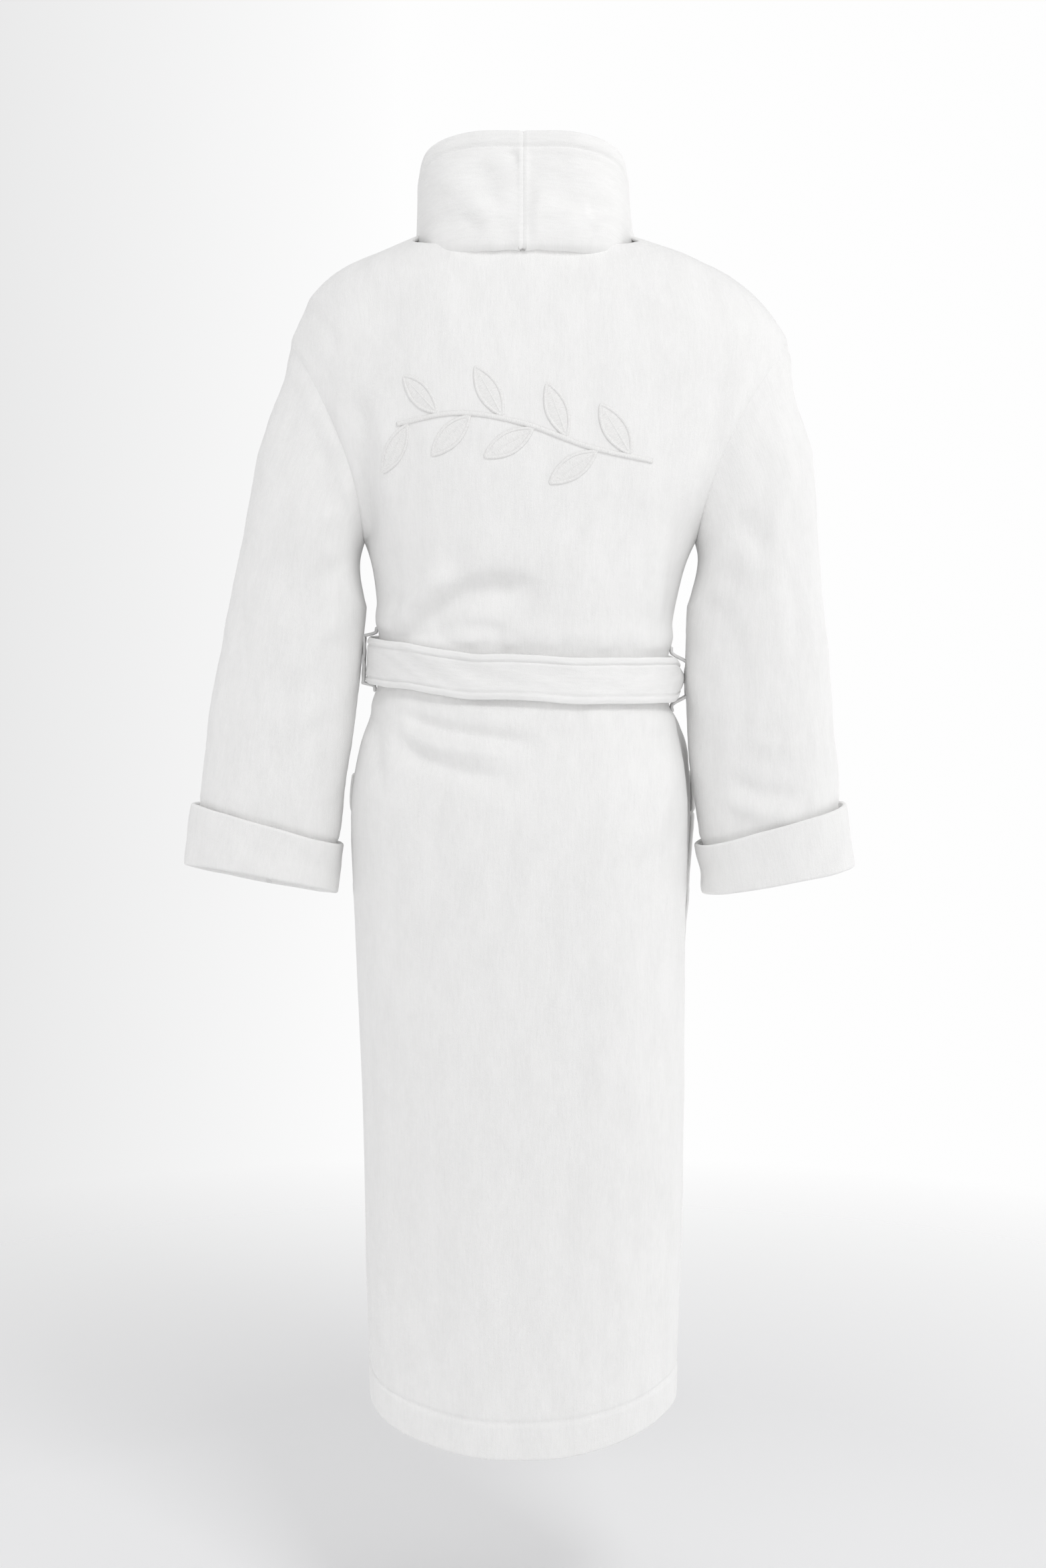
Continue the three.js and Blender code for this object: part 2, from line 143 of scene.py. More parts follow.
def curve(points):
    """A smooth curve through the points, as a function of t from 0 to 1, the same share for each span."""
    pts = np.array(points, float)
    pts = np.vstack([2 * pts[0] - pts[1], pts, 2 * pts[-1] - pts[-2]])
    steps = np.sqrt(np.linalg.norm(np.diff(pts, axis=0), axis=1))
    spans = len(pts) - 3

    def at(t):
        t = np.asarray(t, float) * spans
        i = np.clip(np.floor(t).astype(int), 0, spans - 1)
        f = (t - i)[..., None]
        p0, p1, p2, p3 = (pts[i + k] for k in range(4))
        d0, d1, d2 = (steps[i + k][..., None] for k in range(3))
        m1 = ((p1 - p0) / d0 - (p2 - p0) / (d0 + d1) + (p2 - p1) / d1) * d1
        m2 = ((p2 - p1) / d1 - (p3 - p1) / (d1 + d2) + (p3 - p2) / d2) * d1
        return ((2 * f**3 - 3 * f**2 + 1) * p1 + (f**3 - 2 * f**2 + f) * m1
                + (3 * f**2 - 2 * f**3) * p2 + (f**3 - f**2) * m2)
    return at


def soft_noise(x, y, size, seed):
    """Smooth noise between about -1 and 1, with features about size across."""
    n = 64
    lattice = np.random.default_rng(seed).uniform(-1, 1, (n, n))
    gx, gy = np.asarray(x, float) / size + 1000, np.asarray(y, float) / size + 1000
    gx, gy = np.broadcast_arrays(gx, gy)
    ix, iy = np.floor(gx).astype(int), np.floor(gy).astype(int)
    fx, fy = gx - ix, gy - iy
    sx, sy = fx**3 * (6 * fx**2 - 15 * fx + 10), fy**3 * (6 * fy**2 - 15 * fy + 10)
    c = [lattice[(ix + a) % n, (iy + b) % n] for a in (0, 1) for b in (0, 1)]
    return (c[0] * (1 - sx) + c[2] * sx) * (1 - sy) + (c[1] * (1 - sx) + c[3] * sx) * sy


def to_path(x, z, path):
    """Distance of each point (x, z) from a path, which side of it, and the share of its length there."""
    a, b = path[:-1], path[1:]
    lengths = np.linalg.norm(b - a, axis=1)
    before = np.concatenate([[0], np.cumsum(lengths)[:-1]])
    best = np.full(np.shape(x), 1e9)
    side = np.zeros(np.shape(x))
    share = np.zeros(np.shape(x))
    for p, q, length, start in zip(a, b, lengths, before):
        d = (q - p) / max(length, 1e-9)
        along = np.clip((x - p[0]) * d[0] + (z - p[1]) * d[1], 0, length)
        dx, dz = x - p[0] - along * d[0], z - p[1] - along * d[1]
        dist = np.hypot(dx, dz)
        nearer = dist < best
        best = np.where(nearer, dist, best)
        side = np.where(nearer, np.sign(d[0] * dz - d[1] * dx), side)
        share = np.where(nearer, (start + along) / lengths.sum(), share)
    return best, side, share


def fold(x, z, points, width, height, skew=0.0, ends=0.3):
    """Height that a fold along the points adds at (x, z): a ridge, or a valley where height is negative.
    skew makes its slope longer to the left of the way it runs and shorter to the right."""
    x, z = np.broadcast_arrays(x, z)
    path = curve(points)(np.linspace(0, 1, 6 * len(points)))
    reach = 3 * width * (1 + abs(skew))
    near = ((x > path[:, 0].min() - reach) & (x < path[:, 0].max() + reach)
            & (z > path[:, 1].min() - reach) & (z < path[:, 1].max() + reach))
    found = np.zeros(x.shape)
    distance, side, share = to_path(x[near], z[near], path)
    taper = smooth(share, 0, ends) * smooth(share, 1, 1 - ends)
    found[near] = height * taper * np.exp(-(distance / (width * (1 + skew * side))) ** 2)
    return found


# -------- the body's surface
def body_value(z, column):
    heights = BODY[:, 0]
    i = np.clip(np.searchsorted(heights, z, side="right") - 1, 0, len(BODY) - 2)
    before, after = np.maximum(i - 1, 0), np.minimum(i + 2, len(BODY) - 1)
    a, b = BODY[i, column], BODY[i + 1, column]
    span = heights[i + 1] - heights[i]
    t = (z - heights[i]) / span
    m = (b - BODY[before, column]) / (heights[i + 1] - heights[before]) * span
    n = (BODY[after, column] - a) / (heights[after] - heights[i]) * span
    return ((2 * t**3 - 3 * t**2 + 1) * a + (t**3 - 2 * t**2 + t) * m
            + (3 * t**2 - 2 * t**3) * b + (t**3 - t**2) * n)


def arm_depth(z):
    return ARM_HALF_DEPTH * np.sqrt(np.maximum(0, 1 - ((z - ARM_MID_Z) / ARM_HALF_Z) ** 2))


def arm_edge_x(z):
    t = np.clip((z - ARM_FOOT[1]) / (2 * ARM_HALF_Z), 0, 1)
    return ARM_FOOT[0] + (ARM_TIP[0] - ARM_FOOT[0]) * t**ARM_CURVE


def in_armhole(z):
    return (z < ARM_TIP[1]) & (z > ARM_FOOT[1])


def half_width(z):
    beside = arm_edge_x(z) / (1 - (arm_depth(z) / body_value(z, 2)) ** BODY_POWER) ** (1 / BODY_POWER)
    return np.where(in_armhole(z), beside, body_value(z, 1))


def body_x(angle, z):
    return half_width(z) * signed_power(np.sin(angle), 2 / BODY_POWER)


def on_body(angle, z):
    """Points of the body's skin: angle 0 is the centre back, a quarter turn the wearer's left side."""
    angle, z = np.broadcast_arrays(np.asarray(angle, float), np.asarray(z, float))
    y = body_value(z, 3) + body_value(z, 2) * signed_power(np.cos(angle), 2 / BODY_POWER)
    return np.stack([body_x(angle, z), y, z], -1)


def off_body(angle, z, out):
    """Points that stand out millimetres off the body's skin."""
    across = on_body(angle + 0.01, z) - on_body(angle - 0.01, z)
    up = on_body(angle, z + 1) - on_body(angle, z - 1)
    return on_body(angle, z) + unit(np.cross(up, across)) * np.asarray(out, float)[..., None]


def angle_at(x, z, front=False):
    share = np.clip(x / half_width(z), -1, 1)
    angle = np.arcsin(signed_power(share, BODY_POWER / 2))
    return math.pi - angle if front else angle


def side_angle(z):
    return np.where(in_armhole(z), angle_at(arm_edge_x(z), z), math.pi / 2)


def front_edge_x(z):
    neck = np.clip((z - CROSSING_Z) / (NECK_SIDE_Z - CROSSING_Z), 0, 1) ** 0.8
    return NECK_EDGE_X * neck - FRONT_OVERLAP * smooth(z, CROSSING_Z + 30, CROSSING_Z - 60)


def front_lift(side, x, z):
    """The left front rises over the right one's edge."""
    under = -front_edge_x(z)
    return FRONT_LIFT * smooth(x, under + 70, under + 30) if side > 0 else np.zeros(np.shape(x))


def normals(grid):
    """Unit normals of a grid of points, as the cross product of its two directions."""
    return unit(np.cross(np.gradient(grid, axis=0), np.gradient(grid, axis=1)))


# -------- meshes from grids of points
def rows_between(low, high, spacings):
    """Heights from low to high; spacings gives (up to this height, this far apart)."""
    found, z = [low], low
    for until, step in spacings:
        count = max(1, round((min(until, high) - z) / step))
        found += list(np.linspace(z, min(until, high), count + 1)[1:])
        z = found[-1]
    return np.array(found)


def cloth_lengths(grid):
    """How far each point of a grid lies across and along the cloth, in metres."""
    across = np.linalg.norm(np.diff(grid, axis=1), axis=-1)
    along = np.linalg.norm(np.diff(grid, axis=0), axis=-1)
    u = np.concatenate([np.zeros((len(grid), 1)), np.cumsum(across, axis=1)], axis=1)
    v = np.concatenate([np.zeros((1, grid.shape[1])), np.cumsum(along, axis=0)], axis=0)
    u = u - u[:, u.shape[1] // 2][:, None]
    return np.stack([u, v, np.zeros_like(u)], -1) * MM


def turned(lengths):
    """The same lengths for cloth whose ribs run the other way."""
    return lengths[..., [1, 0, 2]]


def quads(index):
    """The faces of a grid of vertex numbers."""
    return np.stack([index[:-1, :-1], index[:-1, 1:], index[1:, 1:], index[1:, :-1]], -1).reshape(-1, 4)


SWAY_LINE = curve(SWAY)(np.linspace(0, 1, 200))


def make_mesh(name, verts, faces, cloth, material):
    sway = np.interp(verts[:, 2], SWAY_LINE[:, 0], SWAY_LINE[:, 1]) * smooth(np.abs(verts[:, 0]), 60, 170)
    verts = verts + sway[:, None] * (1, 0, 0)
    mesh = bpy.data.meshes.new(name)
    mesh.vertices.add(len(verts))
    mesh.vertices.foreach_set("co", (verts * MM).astype(np.float32).ravel())
    mesh.loops.add(faces.size)
    mesh.loops.foreach_set("vertex_index", faces.astype(np.int32).ravel())
    mesh.polygons.add(len(faces))
    mesh.polygons.foreach_set("loop_start", np.arange(0, faces.size, 4, dtype=np.int32))
    mesh.update(calc_edges=True)
    mesh.polygons.foreach_set("use_smooth", np.ones(len(faces), bool))
    attribute = mesh.attributes.new("cloth", "FLOAT_VECTOR", "POINT")
    attribute.data.foreach_set("vector", cloth.astype(np.float32).ravel())
    mesh.materials.append(material)
    mesh.validate()
    piece = bpy.data.objects.new(name, mesh)
    bpy.context.scene.collection.objects.link(piece)
    return piece


class Shape:
    """Vertices, faces and cloth lengths of one or more closed bodies."""

    def __init__(self):
        self.verts, self.faces, self.cloth, self.count = [], [], [], 0

    def points(self, at, cloth):
        """Adds points and returns their numbers, in the same grid."""
        flat = at.reshape(-1, 3)
        self.verts.append(flat)
        self.cloth.append(np.broadcast_to(cloth, at.shape).reshape(-1, 3))
        numbers = np.arange(self.count, self.count + len(flat)).reshape(at.shape[:-1])
        self.count += len(flat)
        return numbers

    def shell(self, outer, thick, out=None, ring=False, rim=3, lengths=None):
        """A closed piece of cloth: its outer face, an inner face below it, and a round rim.
        out tells whether the grid's normals point outwards, 1, or inwards, -1. A ring closes on itself."""
        if ring:
            wrapped = np.concatenate([outer[:, -2:-1], outer, outer[:, 1:2]], axis=1)
            n = normals(wrapped)[:, 1:-1]
            n[:, -1] = n[:, 0]
        else:
            n = normals(outer)
        if out is None:
            middle = outer[..., :2].mean(axis=1, keepdims=True) * (1 if ring else 0)
            out = 1 if (n[..., :2] * (outer[..., :2] - middle)).sum(-1).mean() > 0 else -1
        n = n * out
        thick = np.broadcast_to(np.asarray(thick, float), outer.shape[:2])[..., None]
        inner = outer - n * thick
        lengths = cloth_lengths(outer) if lengths is None else lengths
        if ring:
            outer, inner, n, thick, lengths = (a[:, :-1] for a in (outer, inner, n, thick, lengths))
        top = self.points(outer, lengths)
        below = self.points(inner, lengths)
        faces = []
        for index, turn in ((top, 1), (below, -1)):
            index = np.concatenate([index, index[:, :1]], axis=1) if ring else index
            faces.append(quads(index)[:, ::turn])
        if ring:
            loops = [(slice(0, 1), slice(None), 1), (slice(-1, None), slice(None), -1)]
            measures = (outer, inner, n, thick, lengths)
            edges = []
            for rows, cols, step in loops:
                lines = [a[rows, cols].reshape(-1, a.shape[-1])[::step] for a in measures]
                edges.append(lines + [b[rows, cols].ravel()[::step] for b in (top, below)])
        else:
            def around(a):
                return np.concatenate([a[0, :-1], a[:-1, -1], a[-1, :0:-1], a[:0:-1, 0]])
            edges = [[around(a) for a in (outer, inner, n, thick, lengths, top, below)]]
        for edge, under, normal, depth, flat, first, last in edges:
            run = np.roll(edge, -1, axis=0) - np.roll(edge, 1, axis=0)
            away = unit(np.cross(normal, run)) * out
            rings = [first]
            for k in range(1, rim + 1):
                turn = math.pi * k / (rim + 1)
                at = (edge + under) / 2 + depth / 2 * (math.cos(turn) * normal + math.sin(turn) * away)
                rings.append(self.points(at, flat))
            strip = np.array([*rings, last])
            faces.append(quads(np.concatenate([strip, strip[:, :1]], axis=1))[:, ::-1])
        faces = np.concatenate(faces)
        self.faces.append(faces[:, ::-1] if out > 0 else faces)
        return self

    def cord(self, path, lift, radius, flat=1.0, closed=False, sides=8):
        """A cord along the path. lift is the direction in which it stands up, and flat is its
        height for its width."""
        if closed:
            run = unit(np.roll(path, -1, axis=0) - np.roll(path, 1, axis=0))
        else:
            run = unit(np.gradient(path, axis=0))
        lift = unit(lift - (lift * run).sum(-1, keepdims=True) * run)
        across = np.cross(run, lift)
        turn = np.linspace(0, 2 * math.pi, sides, endpoint=False)
        radius = np.broadcast_to(np.asarray(radius, float), len(path))[:, None, None]
        at = path[:, None] + radius * (np.cos(turn)[None, :, None] * across[:, None]
                                       + flat * np.sin(turn)[None, :, None] * lift[:, None])
        length = np.concatenate([[0], np.cumsum(np.linalg.norm(np.diff(path, axis=0), axis=-1))])
        lengths = np.stack([np.broadcast_to(turn * radius.mean(), at.shape[:2]),
                            np.broadcast_to(length[:, None], at.shape[:2]), np.zeros(at.shape[:2])], -1) * MM
        index = self.points(at, lengths)
        index = np.concatenate([index, index[:, :1]], axis=1)
        if closed:
            self.faces.append(quads(np.concatenate([index, index[:1]])))
            return self
        self.faces.append(quads(index))
        for end, step in ((0, -1), (-1, 1)):
            first = index[end][:-1][::step]
            self.faces.append(first[[[0, 1, 2, 3], [0, 3, 4, 7], [4, 5, 6, 7]]])
        return self

    def piece(self, name, material, body=None, slot="terry", nodes=()):
        made = make_mesh(name, np.concatenate(self.verts), np.concatenate(self.faces),
                         np.concatenate(self.cloth), material)
        if body:
            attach(made, body)
        if nodes:
            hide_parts(*nodes)
        return made


# -------- materials
def shader(name, colour, roughness, sheen=0.0, specular=0.15):
    material = bpy.data.materials.new(name)
    material.use_nodes = True
    surface = material.node_tree.nodes["Principled BSDF"]
    surface.inputs["Base Color"].default_value = (*colour, 1)
    surface.inputs["Roughness"].default_value = roughness
    surface.inputs["Sheen Weight"].default_value = sheen
    surface.inputs["Sheen Roughness"].default_value = 0.5
    surface.inputs["Specular IOR Level"].default_value = specular
    where = material.node_tree.nodes.new("ShaderNodeAttribute")
    where.attribute_name = "cloth"
    return material, material.node_tree, surface, where.outputs["Vector"]


def stretched_noise(tree, where, scale, detail, roughness=0.5, turn=0.0):
    """Noise whose features are 1 / scale metres across and along the cloth."""
    mapping = tree.nodes.new("ShaderNodeMapping")
    mapping.inputs["Rotation"].default_value = (0, 0, turn)
    mapping.inputs["Scale"].default_value = (*scale, 1)
    noise = tree.nodes.new("ShaderNodeTexNoise")
    noise.inputs["Scale"].default_value = 1
    noise.inputs["Detail"].default_value = detail
    noise.inputs["Roughness"].default_value = roughness
    tree.links.new(where, mapping.inputs["Vector"])
    tree.links.new(mapping.outputs["Vector"], noise.inputs["Vector"])
    return noise.outputs["Fac"]


def combine(tree, operation, a, b):
    made = tree.nodes.new("ShaderNodeMath")
    made.operation = operation
    for socket, value in zip(made.inputs, (a, b)):
        if isinstance(value, (int, float)):
            socket.default_value = value
        else:
            tree.links.new(value, socket)
    return made.outputs["Value"]


def add_bump(tree, surface, height, strength, distance):
    bump = tree.nodes.new("ShaderNodeBump")
    bump.inputs["Strength"].default_value = strength
    bump.inputs["Distance"].default_value = distance
    tree.links.new(height, bump.inputs["Height"])
    tree.links.new(bump.outputs["Normal"], surface.inputs["Normal"])


def add_colours(tree, surface, shade, dark, light, low, high, socket="Base Color"):
    ramp = tree.nodes.new("ShaderNodeValToRGB")
    ramp.color_ramp.elements[0].position = low
    ramp.color_ramp.elements[0].color = (*dark, 1)
    ramp.color_ramp.elements[1].position = high
    ramp.color_ramp.elements[1].color = (*light, 1)
    tree.links.new(shade, ramp.inputs["Fac"])
    tree.links.new(ramp.outputs["Color"], surface.inputs[socket])


def velour(name, light, dark, pile=0.5, sheen=0.3):
    """Sheared velour pile: fine ribs along the cloth, loose tufts, and soft patches where it is brushed."""
    material, tree, surface, where = shader(name, light, 0.95, sheen)
    ribs = stretched_noise(tree, where, (420, 60), 2)
    tufts = stretched_noise(tree, where, (900, 700), 3, 0.7)
    brushed = stretched_noise(tree, where, (45, 14), 4, 0.65)
    add_bump(tree, surface, combine(tree, "ADD", combine(tree, "MULTIPLY", ribs, 0.8), tufts), pile, 0.0012)
    shade = combine(tree, "ADD", combine(tree, "MULTIPLY", brushed, 0.65),
                    combine(tree, "MULTIPLY", ribs, 0.35))
    add_colours(tree, surface, shade, dark, light, 0.32, 0.62)
    return material


def thread(name, light, dark, lay=0.9):
    """Satin-stitched thread: strands laid side by side across the cord."""
    material, tree, surface, where = shader(name, light, 0.5, 0.15, 0.4)
    strands = stretched_noise(tree, where, (300, 2600), 1, 0.4, lay)
    add_bump(tree, surface, strands, 0.7, 0.0004)
    add_colours(tree, surface, strands, dark, light, 0.3, 0.6)
    return material


def woven(name, light, dark, herringbone, roughness, specular):
    """Flat woven cloth: a herringbone for the tape, or a fine satin grain for the labels."""
    material, tree, surface, where = shader(name, light, roughness, 0.1, specular)
    split = tree.nodes.new("ShaderNodeSeparateXYZ")
    tree.links.new(where, split.inputs["Vector"])
    across, along = split.outputs["X"], split.outputs["Y"]
    weave, size = ("PINGPONG", 0.0025) if herringbone else ("MULTIPLY", 0.2)
    zigzag = combine(tree, weave, across, size)
    lines = combine(tree, "SINE", combine(tree, "MULTIPLY", combine(tree, "ADD", along, zigzag), 9000), 0.0)
    grain = stretched_noise(tree, where, (1500, 1500), 2)
    height = combine(tree, "ADD", combine(tree, "MULTIPLY", lines, 0.5), grain)
    add_bump(tree, surface, height, 0.5, 0.0003)
    add_colours(tree, surface, combine(tree, "MULTIPLY", height, 0.6), dark, light, 0.1, 0.6)
    return material


TERRY = velour("terry", (0.955, 0.952, 0.945), (0.90, 0.897, 0.89), sheen=0.35)
THREAD = thread("embroidery_thread", (0.93, 0.925, 0.915), (0.80, 0.795, 0.785))
TAPE = woven("cotton_tape", (0.87, 0.86, 0.84), (0.76, 0.75, 0.73), True, 0.85, 0.2)
SATIN = woven("satin_label", (0.85, 0.845, 0.83), (0.78, 0.775, 0.76), False, 0.42, 0.5)


# -------- how the cloth is folded
def belt_height(x):
    return BELT_Z + BELT_RISE * x + BELT_HITCH * smooth(x, 40, 150)


def beside_belt(x, z):
    """0 where the belt holds the cloth down, and 1 away from it."""
    return smooth(np.abs(z - belt_height(x)), 23, 34)


def cinched(x, z, seed):
    """The cloth swells above and below the belt, gathered into small upright pleats."""
    off = np.abs(z - belt_height(x))
    pleats = soft_noise(x, z / 4, 13, seed) * 1.7 * bell(off, 34, 16)
    return (2.6 * bell(off, 42, 13) + pleats) * beside_belt(x, z)


def drape(x, z, seed):
    """The cloth's own unevenness: slow waves that run down it, and small dents."""
    below = smooth(z, -480, -900)
    waves = soft_noise(x, z / 6, 46, seed) * (1.2 + 2.4 * below)
    dents = soft_noise(x, z / 1.6, 30, seed + 1) * 0.9
    return waves + dents + soft_noise(x, z, 5.5, seed + 2) * 0.2


def back_folds(x, z):
    """How far the back stands off its plain shape, seen from behind, x towards the wearer's left."""
    d = fold(x, z, ((142, -398), (114, -362), (62, -318)), 15, 9.5, 0.2)
    d += fold(x, z, ((118, -404), (92, -376), (54, -350), (-24, -344)), 17, -12.0, 0.3, 0.25)
    d += fold(x, z, ((100, -396), (60, -385), (4, -390)), 8, -4.5)
    d += fold(x, z, ((128, -345), (126, -375), (130, -405)), 6, -2.5)
    d += fold(x, z, ((60, -330), (0, -318), (-60, -330)), 26, 2.5)
    d += fold(x, z, ((138, -462), (98, -480), (52, -490), (-30, -500)), 9, -6.5, 0.2)
    d += fold(x, z, ((136, -474), (104, -494), (60, -504), (-10, -512)), 10, 6.0)
    d += fold(x, z, ((132, -476), (108, -508), (62, -526), (0, -536)), 10, -6.0, 0.2)
    d += fold(x, z, ((148, -465), (146, -505), (136, -560)), 8, -3.0)
    d += fold(x, z, ((-112, -470), (-126, -492), (-146, -506)), 8, -2.6)
    d += fold(x, z, ((-150, -500), (-140, -560), (-110, -625)), 15, 5.0, -0.2)
    d += fold(x, z, ((-118, -500), (-128, -545), (-112, -590)), 12, -2.8)
    d += fold(x, z, ((-182, -120), (-180, -170), (-174, -235)), 12, -4.0)
    d += fold(x, z, ((-150, -270), (-148, -330), (-144, -400)), 9, -3.5)
    d += fold(x, z, ((-132, -270), (-130, -330), (-132, -400)), 10, 2.0)
    d += fold(x, z, ((176, -140), (170, -220), (160, -320)), 13, -9.0, 0, 0.25)
    d += fold(x, z, ((146, -150), (144, -240), (144, -320)), 16, 4.0)
    d += fold(x, z, ((240, -58), (216, -84), (196, -120)), 8, -2.5)
    return d


def front_folds(side, x, z):
    """The same for a front, x towards its own side seam."""
    s = side * 6
    d = fold(x, z, ((140, -398), (112, -360), (96, -300 + s)), 11, -3.6)
    d += fold(x, z, ((124, -396), (104, -350), (112, -280)), 12, 2.4)
    d += fold(x, z, ((20, -466), (70, -500), (122, -560 + s)), 12, -3.2, 0.1)
    d += fold(x, z, ((8, -474), (52, -540), (84, -640)), 14, 3.2, 0.2)
    d += fold(x, z, ((0, -480), (18, -600), (26 - s, -760)), 16, -3.4, -0.2)
    d += fold(x, z, ((150, -480), (152, -560), (150, -700)), 12, -2.6)
    d += fold(x, z, ((168, -150), (160, -220), (152, -290)), 13, -3.6)
    d += fold(x, z, ((110, -700), (96 + s, -860), (104, -1060)), 22, 3.5)
    d += (7 - 5 * side) * bell(x, 156, 22) * smooth(z, -462, -520) * smooth(z, -760, -600)
    return d


def hem_step(z, bottom):
    """The turned-up hem: thicker below its line of stitches, with the stitches sunk in."""
    return 0.9 * smooth(z, bottom + HEM_BAND, bottom + HEM_BAND - 5) \
        - 1.5 * bell(z, bottom + HEM_BAND, 1.8)


# -------- back panel
HEIGHTS = rows_between(HEM_Z + 2.5, NECK_SIDE_Z, ((HEM_Z + 46, 1.5), (-650, 5), (-300, 2.6), (20, 3.6)))


def relaxed(grid, share):
    """Evens out the skin over the shoulder blades, where the armhole's tip would leave a crease."""
    reach = 14
    kernel = bell(np.arange(-reach, reach + 1), 0, 7)
    kernel /= kernel.sum()
    padded = np.concatenate([grid[:1].repeat(reach, 0), grid, grid[-1:].repeat(reach, 0)])
    even = sum(k * padded[i:i + len(grid)] for i, k in enumerate(kernel))
    z = grid[..., 2]
    weight = smooth(np.abs(share), 1.0, 0.8) * smooth(z, -330, -280) * smooth(z, -10, -50)
    return lerp(grid, even, weight[..., None])


def stretch_to_neck(z, share):
    """Moves heights near the top so that the last row follows the neckline."""
    top = NECK_BACK_Z + (NECK_SIDE_Z - NECK_BACK_Z) * share**2
    foot = -60.0
    return np.where(z > foot, foot + (z - foot) / (NECK_SIDE_Z - foot) * (top - foot), z)


def back_height(x, z):
    return (back_folds(x, z) + drape(x, z, 11) + cinched(x, z, 17)) * beside_belt(x, z) \
        * smooth(z, NECK_SIDE_Z, -20)


def hem_sag(angle, z):
    """How far the hem hangs lower at the centre back and centre front than at the sides."""
    return (30 * np.cos(angle) ** 2 - 8) * smooth(z, -1060, HEM_Z)


def back_grid():
    share = np.linspace(1, -1, 141)[None, :]
    rows = HEIGHTS[:, None]
    angle = share * side_angle(rows)
    base = relaxed(on_body(angle, stretch_to_neck(rows, share)), share)
    away = normals(base)
    x, z = base[..., 0], base[..., 2]
    edge = smooth(np.abs(share), 1.0, 0.93)
    height = back_height(x, z) * edge + hem_step(z, HEM_Z)
    grid = base + away * np.sign(away[..., 1].mean()) * height[..., None]
    grid[..., 2] -= hem_sag(angle, z)
    return grid


BACK = back_grid()


def back_panel():
    return Shape().shell(BACK, CLOTH).piece("robe_back", TERRY, "garment", nodes=("back_panel",))


# -------- fronts and pockets
def lapel_outer(z):
    return np.interp(z, LAPEL_ROWS[::-1], [front_edge_x(r) + 6 + lerp(LAPEL_TOP, LAPEL_END, (r + 62) / -330)
                                           for r in LAPEL_ROWS[::-1]])


def front_height(side, x, z):
    """Folds of a front, kept down where the lapel or the belt lies on it."""
    free = np.maximum(smooth(z, -406, -440), smooth(x - lapel_outer(z), 0, 22))
    height = front_folds(side, x, z) + drape(x * side, z, 31) + cinched(x * side, z, 37)
    return height * free * beside_belt(side * x, z)


def front_panel(name, side):
    z = HEIGHTS[:, None]
    share = np.linspace(0, 1, 111)[None, :]
    angle = lerp(math.pi - side_angle(z), angle_at(front_edge_x(z), z, True), share)
    x = body_x(angle, z)
    edge = smooth(share, 0, 0.07) * smooth(share, 1, 0.985)
    height = front_height(side, x, z) * edge + hem_step(z, HEM_Z)
    below = smooth(z, -400, -420)
    height = height - 1.3 * bell(x, front_edge_x(z) + 32, 1.8) * below
    base = relaxed(on_body(side * angle, z), 1 - share)
    away = normals(base)
    away = away * -np.sign(away[..., 1].mean())
    grid = base + away * (height + front_lift(side, x, z))[..., None]
    grid[..., 2] -= hem_sag(angle, z)
    shape = Shape().shell(grid, CLOTH)
    return shape.piece(f"robe_front_{name}", TERRY, "garment", nodes=(f"{name}_front_panel",))


def pocket(name, side):
    u = np.linspace(0, 1, 71)[None, :]
    v = np.linspace(0, 1, 81)[:, None]
    z = POCKET_TOP - POCKET_HEIGHT * (1 - v)
    angle = angle_at(POCKET_X, z, True) - u * POCKET_SPREAD
    x = body_x(angle, z)
    bulge = 14 * np.sin(math.pi * u) ** 0.7 * np.sin(math.pi / 2 * v) ** 0.8
    width = 128.0
    to_side = np.minimum(u, 1 - u) * width
    to_foot = v * POCKET_HEIGHT
    to_mouth = POCKET_HEIGHT * (1 - v)
    stitched = np.minimum(to_side, to_foot)
    height = bulge + 4 + 0.6 + front_height(side, x, z)
    height = height - 1.4 * bell(stitched, 5, 1.8) - 1.4 * bell(to_mouth, 38, 1.8)
    height = height + 0.8 * smooth(to_mouth, 38, 34)
    height = height + 1.2 * soft_noise(u * width, v * 160, 24, 51 + side)
    grid = off_body(side * angle, z, height + front_lift(side, x, z))
    thick = 4 - 1.6 * smooth(stitched, 4, 0)
    shape = Shape().shell(grid, thick)
    return shape.piece(f"robe_pocket_{name}", TERRY, "garment", nodes=(f"{name}_pocket",))


# -------- sleeves and cuffs
OUTER_LINE = curve(SLEEVE_OUTER)
INNER_LINE = curve(SLEEVE_INNER)


def on_sleeve(name, side, along, angle, out):
    """A point of the sleeve: share of its length, angle round it with 0 outermost, distance off its skin."""
    along, angle = np.broadcast_arrays(np.asarray(along, float), np.asarray(angle, float))
    outer, inner = OUTER_LINE(along), INNER_LINE(along)
    middle, half = (outer + inner) / 2, (outer - inner) / 2
    depth = np.interp(along, np.linspace(0, 1, len(SLEEVE_DEPTH)), SLEEVE_DEPTH)
    length = np.linalg.norm(half, axis=-1)
    power = 2 + (SLEEVE_POWER - 2) * smooth(along, 0, 0.15)
    grown = (length + out) / length * signed_power(np.cos(angle), 2 / power)
    x, z = middle[..., 0] + half[..., 0] * grown, middle[..., 1] + half[..., 1] * grown
    straight = ARM_FOOT[0] + (ARM_TIP[0] - ARM_FOOT[0]) * (z - ARM_FOOT[1]) / (2 * ARM_HALF_Z)
    x = x + (arm_edge_x(z) - straight) * np.maximum(0, 1 - 4 * along) + 1.5 * smooth(along, 0, 0.05)
    y = lerp(body_value(z, 3), 4, smooth(along, 0, 0.2)) \
        + (depth + out) * signed_power(np.sin(angle), 2 / power)
    z = z + CUFF_TILT[name] * np.sin(angle) * smooth(along, 0.72, 1)
    return np.stack([side * x, y, z], -1)


